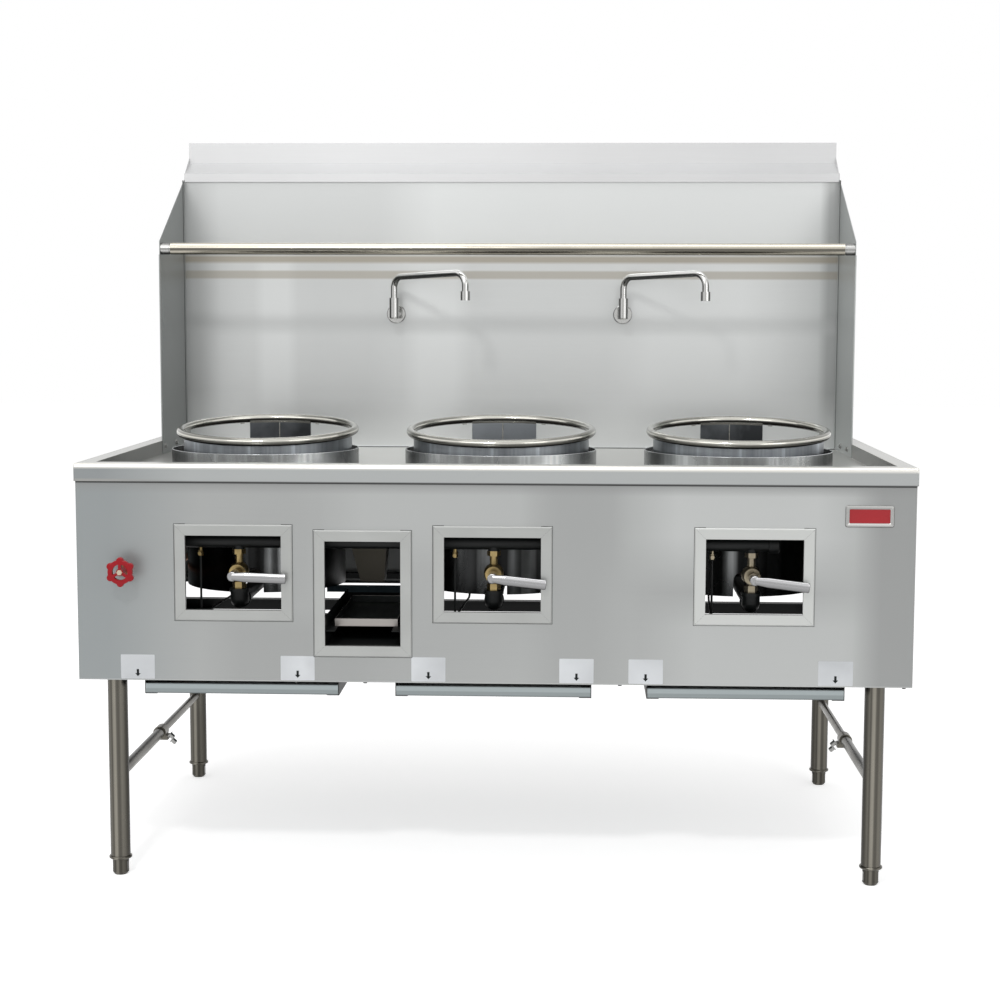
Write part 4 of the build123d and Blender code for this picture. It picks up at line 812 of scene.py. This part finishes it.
def bolt_tree():
    """Bolt heads with washers: one at every point, looking along the point's facing."""
    n, given, out = geometry_tree(
        "Bolt heads",
        (
            ("Head radius", "Float", 0.006), ("Head height", "Float", 0.004), ("Sides", "Int", 6),
            ("Washer radius", "Float", 0.009), ("Washer height", "Float", 0.0012),
        ),
    )
    sides, radius, height = given["Sides"], given["Head radius"], given["Head height"]
    thick = given["Washer height"]
    head = n.put("GeometryNodeMeshCylinder", Vertices=sides, Radius=radius, Depth=height)
    washer = n.put("GeometryNodeMeshCylinder", Vertices=28, Radius=given["Washer radius"], Depth=thick)
    crown_radius, crown_height = n.calc("MULTIPLY", radius, 0.72), n.calc("MULTIPLY", height, 0.22)
    crown = n.put("GeometryNodeMeshCone", Vertices=sides, Radius_Bottom=radius, Radius_Top=crown_radius)
    n.feed(crown.inputs["Depth"], crown_height)
    head_z = n.calc("ADD", n.calc("MULTIPLY", height, 0.5), thick)
    whole = n.put("GeometryNodeJoinGeometry")
    washer_z, crown_z = n.calc("MULTIPLY", thick, 0.5), n.calc("ADD", height, thick)
    for mesh, z in ((head, head_z), (washer, washer_z), (crown, crown_z)):
        lift = n.put("ShaderNodeCombineXYZ", Z=z).outputs[0]
        moved = n.put("GeometryNodeTransform", Geometry=mesh.outputs["Mesh"], Translation=lift)
        n.feed(whole.inputs[0], moved.outputs[0])
    facing = n.put("GeometryNodeInputNamedAttribute", data_type="FLOAT_VECTOR", Name="facing")
    aim = n.put("FunctionNodeAlignRotationToVector", axis="Z", Vector=facing.outputs["Attribute"])
    bolts = n.put("GeometryNodeInstanceOnPoints", Points=given["Geometry"], Instance=whole.outputs[0])
    n.feed(bolts.inputs["Rotation"], aim.outputs[0])
    return end_tree(n, bolts.outputs[0], given, out)


def bead_tree():
    """Weld bead: overlapping ripples along the edges of a path, each a little different."""
    n, given, out = geometry_tree(
        "Weld ripples", (("Radius", "Float", 0.002), ("Step", "Float", 0.0024), ("Seed", "Int", 0))
    )
    curve = n.put("GeometryNodeMeshToCurve", given["Geometry"]).outputs[0]
    even = n.put("GeometryNodeResampleCurve", mode="LENGTH", Curve=curve, Length=given["Step"]).outputs[0]
    drop = n.put("GeometryNodeMeshIcoSphere", Radius=given["Radius"], Subdivisions=2).outputs["Mesh"]
    smallest, largest = (0.85, 0.85, 0.8), (1.1, 1.1, 1.15)
    vary = n.put("FunctionNodeRandomValue", smallest, largest, data_type="FLOAT_VECTOR", Seed=given["Seed"])
    ripples = n.put("GeometryNodeInstanceOnPoints", Points=even, Instance=drop, Scale=vary.outputs[0])
    return end_tree(n, ripples.outputs[0], given, out)


def line_tree():
    """Thin round lines along the edges of a path, such as the joints between two sheets."""
    n, given, out = geometry_tree("Joint lines", (("Radius", "Float", 0.001), ("Sides", "Int", 6)))
    curve = n.put("GeometryNodeMeshToCurve", given["Geometry"]).outputs[0]
    profile = n.put("GeometryNodeCurvePrimitiveCircle", Resolution=given["Sides"], Radius=given["Radius"])
    swept = n.put("GeometryNodeCurveToMesh", Curve=curve, Profile_Curve=profile.outputs[0], Fill_Caps=True)
    return end_tree(n, swept.outputs[0], given, out)


def grown(name, start, tree, sizes, material, body):
    """Run a tree on a start mesh and keep its result as a plain piece on one body."""
    holder = bpy.data.objects.new(name + "_start", start)
    bpy.context.scene.collection.objects.link(holder)
    modifier = holder.modifiers.new(tree.name, "NODES")
    modifier.node_group = tree
    identifiers = {
        item.name: item.identifier
        for item in tree.interface.items_tree
        if item.item_type == "SOCKET" and item.in_out == "INPUT"
    }
    for label, value in {**sizes, "Material": bpy.data.materials[material]}.items():
        modifier[identifiers[label]] = value
    bpy.context.view_layer.update()
    depsgraph = bpy.context.evaluated_depsgraph_get()
    mesh = bpy.data.meshes.new_from_object(holder.evaluated_get(depsgraph), depsgraph=depsgraph)
    if not mesh.polygons:
        raise RuntimeError(f"{name}: the tree {tree.name} made nothing")
    holder.modifiers.clear()
    bpy.data.objects.remove(holder)
    if "facing" in mesh.attributes:
        mesh.attributes.remove(mesh.attributes["facing"])
    mesh.name = name
    return finished(name, mesh, material, body)


# ---------------------------------------------------------------- stage
def seen_directly(n):
    """1 for camera, glossy and transmission rays, 0 for the rest."""
    rays = n.put("ShaderNodeLightPath").outputs
    direct = n.calc("MAXIMUM", rays["Is Camera Ray"], rays["Is Glossy Ray"])
    return n.calc("MAXIMUM", direct, rays["Is Transmission Ray"])


def floor_material(s):
    """Pale floor that keeps the object's shadow and shows white to the camera and in reflections."""
    made = bpy.data.materials.new("floor")
    made.use_nodes = True
    n = Nodes(made.node_tree)
    n.tree.nodes.clear()
    matt = n.put("ShaderNodeBsdfDiffuse", Color=(*s.floor_colour, 1))
    strength = n.calc("MULTIPLY", seen_directly(n), s.floor_glow)
    glow = n.put("ShaderNodeEmission", Color=WHITE, Strength=strength)
    both = n.put("ShaderNodeAddShader", matt.outputs[0], glow.outputs[0])
    n.put("ShaderNodeOutputMaterial", Surface=both.outputs[0])
    return made


def surround(s):
    """World that lights the object evenly and shows white to the camera and in reflections."""
    world = bpy.data.worlds.new("studio")
    world.use_nodes = True
    n = Nodes(world.node_tree)
    n.tree.nodes.clear()
    sky = n.put("ShaderNodeBackground", Color=WHITE, Strength=n.between(seen_directly(n), s.sky, 1.0))
    n.put("ShaderNodeOutputWorld", Surface=sky.outputs[0])
    return world


class WOKRANGE_OT_stage(bpy.types.Operator):
    """Camera, white floor, soft studio lamps and an even white surround"""

    bl_idname = "wokrange.stage"
    bl_label = "Stage"

    def execute(self, context):
        s = context.scene.wokrange_stage
        camera = self.staged(context, "camera", bpy.data.cameras.new("camera"))
        camera.data.sensor_width = 36.0
        camera.data.lens = s.lens
        turn = (
            Matrix.Rotation(s.camera_yaw, 4, "Z")
            @ Matrix.Rotation(math.radians(90) - s.camera_pitch, 4, "X")
            @ Matrix.Rotation(s.camera_roll, 4, "Z")
        )
        camera.matrix_world = Matrix.Translation(s.camera_at) @ turn
        context.scene.camera = camera

        bm = bmesh.new()
        bmesh.ops.create_grid(bm, x_segments=1, y_segments=1, size=s.floor_size / 2)
        mesh = bpy.data.meshes.new("floor")
        bm.to_mesh(mesh)
        bm.free()
        mesh.materials.append(floor_material(s))
        self.staged(context, "floor", mesh)

        aimed_at = Vector((0, 0, 0.9))
        for name, at, wide, high in (
            ("key", (-2.6, -4.2, 3.6), 3.2, 2.2),
            ("fill", (3.4, -3.6, 2.4), 2.6, 2.2),
            ("top", (0.0, -0.6, 4.4), 4.0, 2.6),
            ("spot", (-0.9, -3.9, 4.05), 0.55, 0.4),
        ):
            lamp = self.staged(context, name + "_lamp", bpy.data.lights.new(name + "_lamp", "AREA"))
            lamp.data.shape = "RECTANGLE"
            lamp.data.size = wide
            lamp.data.size_y = high
            lamp.data.energy = getattr(s, name)
            aim = (aimed_at - Vector(at)).to_track_quat("-Z", "Y").to_matrix().to_4x4()
            lamp.matrix_world = Matrix.Translation(at) @ aim
        context.scene.world = surround(s)
        context.scene.view_settings.view_transform = "Standard"
        return {"FINISHED"}

    def staged(self, context, name, data):
        """Object of the stage, in the scene."""
        made = bpy.data.objects.new(name, data)
        context.scene.collection.objects.link(made)
        return made


# ---------------------------------------------------------------- the range
class WOKRANGE_OT_finishes(bpy.types.Operator):
    """Procedural metals and paints on every node of the frame"""

    bl_idname = "wokrange.finishes"
    bl_label = "Finishes"

    def execute(self, context):
        made = make_finishes(context.scene.wokrange_finish)
        special = {"pilot_tubes": "pilot_black", "spout_left": "spout_chrome", "spout_right": "spout_chrome"}
        for name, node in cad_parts.items():
            for place in node.material_slots:
                place.material = made[special.get(name, place.material.name.split(".")[0])]
        return {"FINISHED"}


class WOKRANGE_OT_badge(bpy.types.Operator):
    """Bare red badge in a chrome bevel on the front panel"""

    bl_idname = "wokrange.badge"
    bl_label = "Badge"

    def execute(self, context):
        s = context.scene.wokrange_detail
        self.layered("badge_rim", "badge_chrome", "faucet_chrome", (
            (0.0, 0.005, 0.0), (0.0, 0.005, 0.0008), (0.003, 0.004, 0.003), (s.badge_rim, 0.003, 0.0036),
            (1.7 * s.badge_rim, 0.002, 0.0026), (2 * s.badge_rim, 0.0015, 0.0018),
        ))
        self.layered("badge_field", "badge_red", "red_enamel", (
            (2 * s.badge_rim, 0.0015, 0.0017), (2 * s.badge_rim, 0.0015, 0.0021),
            (2.4 * s.badge_rim, 0.0012, 0.0024),
        ))
        return {"FINISHED"}

    def layered(self, name, material, slot, steps):
        """Plate at the badge's place; a step says how much smaller it is, its corner and how proud it is."""
        s = bpy.context.scene.wokrange_detail
        rings = [
            (s.badge_width - smaller, s.badge_height - smaller, corner, proud)
            for smaller, corner, proud in steps
        ]
        bm = bmesh.new()
        plate(bm, Vector((BADGE_X, PANEL_LOW.y, BADGE_Z)), rings)
        finished(name, mesh_of(name, bm), material, BODY)


class WOKRANGE_OT_stickers(bpy.types.Operator):
    """Six white stickers with a plain arrow along the lower edge of the front panel"""

    bl_idname = "wokrange.stickers"
    bl_label = "Stickers"

    def execute(self, context):
        s = context.scene.wokrange_detail
        lowest = PANEL_LOW.z + STICKER_RISE
        paper, ink = bmesh.new(), bmesh.new()
        half_arrow = ((0.0, 0.0), (0.38, 0.42), (0.16, 0.42), (0.16, 1.0))
        outline = [(u * s.arrow, v * s.arrow) for u, v in half_arrow]
        outline += [(-u, v) for u, v in reversed(outline[1:])]
        for x in STICKERS_X:
            middle = Vector((x, PANEL_LOW.y, lowest + s.sticker_height / 2))
            sheet = (s.sticker_width, s.sticker_height, STICKER_CORNER)
            plate(paper, middle, [(*sheet, proud) for proud in (-0.0001, 0.0003)])
            tip = Vector((x, PANEL_LOW.y, lowest + s.sticker_height * 0.1))
            raised(ink, tip, [(outline, proud) for proud in (0.0002, 0.00045)])
        finished("stickers", mesh_of("stickers", paper), "sticker_paper", BODY)
        finished("sticker_arrows", mesh_of("sticker_arrows", ink), "sticker_ink", BODY)
        return {"FINISHED"}


class WOKRANGE_OT_joints(bpy.types.Operator):
    """Painted shadow lines round the window frames, and dark joints at their mitres and where the wings meet
    the back panel
    """

    bl_idname = "wokrange.joints"
    bl_label = "Joint lines"

    def execute(self, context):
        s = context.scene.wokrange_detail
        middle_z, tall = (FRAMES_LOW.z + FRAMES_HIGH.z) / 2, FRAMES_HIGH.z - FRAMES_LOW.z
        windows = [(x, middle_z, FRAME_WIDE, tall) for x in STATIONS.values()]
        hatch, size = (HATCH_LOW + HATCH_HIGH) / 2, HATCH_HIGH - HATCH_LOW
        windows.append((hatch.x, hatch.z, size.x, size.z))
        around, mitres = [], []
        for x, z, wide, tall in windows:
            corners = [(x + u * wide / 2, z + v * tall / 2) for u, v in ((-1, -1), (1, -1), (1, 1), (-1, 1))]
            (left, bottom), (right, top) = corners[0], corners[2]
            start, end = (left + FRAME_BAR, top), (right - FRAME_BAR, top)
            route = (start, (left, top), (left, bottom), (right, bottom), (right, top), end)
            around.append([Vector((u, PANEL_LOW.y, v)) for u, v in route])
            for u, v in corners:
                mitre = Vector((math.copysign(FRAME_BAR, x - u), 0, math.copysign(FRAME_BAR, z - v)))
                corner = Vector((u, FRAMES_LOW.y + s.shadow_and_mitre_line / 2, v))
                mitres.append([corner + mitre * share for share in MITRE])
        ends = (DECK_Z + SEAM_OVER_DECK, BACK_HIGH.z - SEAM_UNDER_TOP)
        seams = [[Vector((x, BACK_LOW.y, z)) for z in ends] for x in (-WING_INSIDE, WING_INSIDE)]
        foot = WING_HIGH.x - FOOT_SEAM_INSET
        seams.append([Vector((x, BACK_LOW.y, DECK_Z + FOOT_SEAM_RISE)) for x in (-foot, foot)])
        tree = line_tree()
        for name, paths, radius, material in (
            # Painted shadow: dark lines where the proud frames meet the front panel.
            ("frame_joints", around, s.shadow_and_mitre_line, "joint_dark"),
            ("frame_mitres", mitres, s.shadow_and_mitre_line * MITRE_LINE, "seam_grey"),
            ("splash_seams", seams, SEAM_LINE, "seam_grey"),
        ):
            grown(name, path_mesh(paths), tree, {"Radius": radius, "Sides": 6}, material, BODY)
        return {"FINISHED"}


class WOKRANGE_OT_bolts(bpy.types.Operator):
    """Bolts of the wings, the body's underside and the brace clamps"""

    bl_idname = "wokrange.bolts"
    bl_label = "Bolts"

    def execute(self, context):
        s = context.scene.wokrange_detail
        wings = [
            (Vector((side * WING_INSIDE, DECK_LOW.y + behind, z)), (-side, 0, 0))
            for side, spots in WING_BOLTS.items() for behind, z in spots
        ]
        under = PANEL_LOW + Vector((0, UNDERSIDE_BOLTS_BEHIND, 0))
        below = [(Vector((x, under.y, under.z)), (0, 0, -1)) for x in UNDERSIDE_BOLTS_X]
        middle = (CLAMPS_LOW + CLAMPS_HIGH) / 2
        clamps = []
        apart, rise = CLAMP_PAIR
        for side in (-1, 1):
            inner = side * (CLAMPS_HIGH.x - CLAMP_REACH)
            for along in (-1, 1):
                at = Vector((inner, middle.y + along * apart, middle.z - along * rise - CLAMP_DROP))
                clamps.append((at, (-side * CLAMP_LEAN[0], 0.0, CLAMP_LEAN[1])))
        tree = bolt_tree()
        for name, places, radius, high, washer, thick, material in (
            ("wing_bolts", wings, s.bolt_head, 0.0035, s.bolt_head * 1.5, 0.001, "bolt_steel"),
            ("underside_bolts", below, s.bolt_head * 0.8, 0.003, s.bolt_head, 0.0008, "bolt_dark"),
            ("clamp_bolts", clamps, s.clamp_bolt, 0.010, s.clamp_bolt * 1.35, 0.002, "bolt_steel"),
        ):
            sizes = {
                "Head radius": radius, "Head height": high, "Sides": 6,
                "Washer radius": washer, "Washer height": thick,
            }
            grown(name, points_mesh(places), tree, sizes, material, BODY)
        return {"FINISHED"}


class WOKRANGE_OT_welds(bpy.types.Operator):
    """Weld beads between the wok rings' tubes and skirts, and on the legs"""

    bl_idname = "wokrange.welds"
    bl_label = "Welds"

    def execute(self, context):
        s = context.scene.wokrange_detail
        tree = bead_tree()
        leg_inset, leg_r, under_body = 0.0255, 0.0222, 0.0015
        legs = [
            circle(x - math.copysign(leg_inset, x), y, leg_r, LEGS_HIGH.z - under_body)
            for x in (LEGS_LOW.x, LEGS_HIGH.x)
            for y in (LEGS_LOW.y + leg_inset, LEGS_HIGH.y - leg_inset)
        ]
        sizes = {"Radius": s.bead, "Step": s.bead_step, "Seed": s.seed}
        grown("leg_welds", path_mesh(legs), tree, sizes, "bead_steel", BODY)
        sizes = {"Radius": RING_BEAD, "Step": RING_BEAD_STEP, "Seed": s.seed}
        for side in SIDES:
            ring = f"wok_ring_{side}"
            paths = self.ring_paths(*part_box(ring))
            grown(f"ring_welds_{side}", path_mesh(paths), tree, sizes, "bead_steel", ring)
        return {"FINISHED"}

    def ring_paths(self, low, high):
        """Tack welds round a wok ring's skirt, under the tube, and the upright seam of its rear plate."""
        centre_x, skirt_r = (low.x + high.x) / 2, (high.x - low.x) / 2 - RING_TUBE - SKIRT_INSET
        paths = []
        for degrees in TACKS:
            tack = []
            for step in (-TACK_HALF, 0, TACK_HALF):
                a = math.radians(degrees + step)
                x, y = skirt_r * math.cos(a), skirt_r * math.sin(a)
                tube_under = RING_Z + y * RING_SLOPE - RING_TUBE - TACK_SUNK
                tack.append(Vector((centre_x + x, CHAMBER_Y + y, tube_under)))
            paths.append(tack)
        aside, sunk, over_foot, under_tube = 0.004, 0.0022, 0.004, 0.002
        seam_x, seam_y = centre_x - aside, CHAMBER_Y + skirt_r - sunk
        seam_top = RING_Z + skirt_r * RING_SLOPE - RING_TUBE - under_tube
        paths.append([Vector((seam_x, seam_y, z)) for z in (low.z + over_foot, seam_top)])
        return paths


# ---------------------------------------------------------------- add-on
OPERATORS = (
    WOKRANGE_OT_stage,
    WOKRANGE_OT_finishes,
    WOKRANGE_OT_badge,
    WOKRANGE_OT_stickers,
    WOKRANGE_OT_joints,
    WOKRANGE_OT_bolts,
    WOKRANGE_OT_welds,
)
SETTINGS = {
    "wokrange_stage": WOKRANGE_stage_settings,
    "wokrange_finish": WOKRANGE_finish_settings,
    "wokrange_detail": WOKRANGE_detail_settings,
}


class WOKRANGE_PT_panel(bpy.types.Panel):
    """Lists the steps that dress the range"""

    bl_idname = "WOKRANGE_PT_panel"
    bl_label = "Wok Range"
    bl_space_type = "VIEW_3D"
    bl_region_type = "UI"
    bl_category = "Wok Range"

    def draw(self, context):
        for operator in OPERATORS:
            self.layout.operator(operator.bl_idname)
        for name, settings in SETTINGS.items():
            box = self.layout.box()
            for item in settings.__annotations__:
                box.prop(getattr(context.scene, name), item)


def register():
    for cls in (*SETTINGS.values(), *OPERATORS, WOKRANGE_PT_panel):
        bpy.utils.register_class(cls)
    for name, settings in SETTINGS.items():
        setattr(bpy.types.Scene, name, PointerProperty(type=settings))


def unregister():
    for name in SETTINGS:
        delattr(bpy.types.Scene, name)
    for cls in reversed((*SETTINGS.values(), *OPERATORS, WOKRANGE_PT_panel)):
        bpy.utils.unregister_class(cls)


def main():
    register()
    bpy.ops.wokrange.stage()
    bpy.ops.wokrange.finishes()
    bpy.ops.wokrange.badge()
    bpy.ops.wokrange.stickers()
    bpy.ops.wokrange.joints()
    bpy.ops.wokrange.bolts()
    bpy.ops.wokrange.welds()


if __name__ == "__main__":
    main()
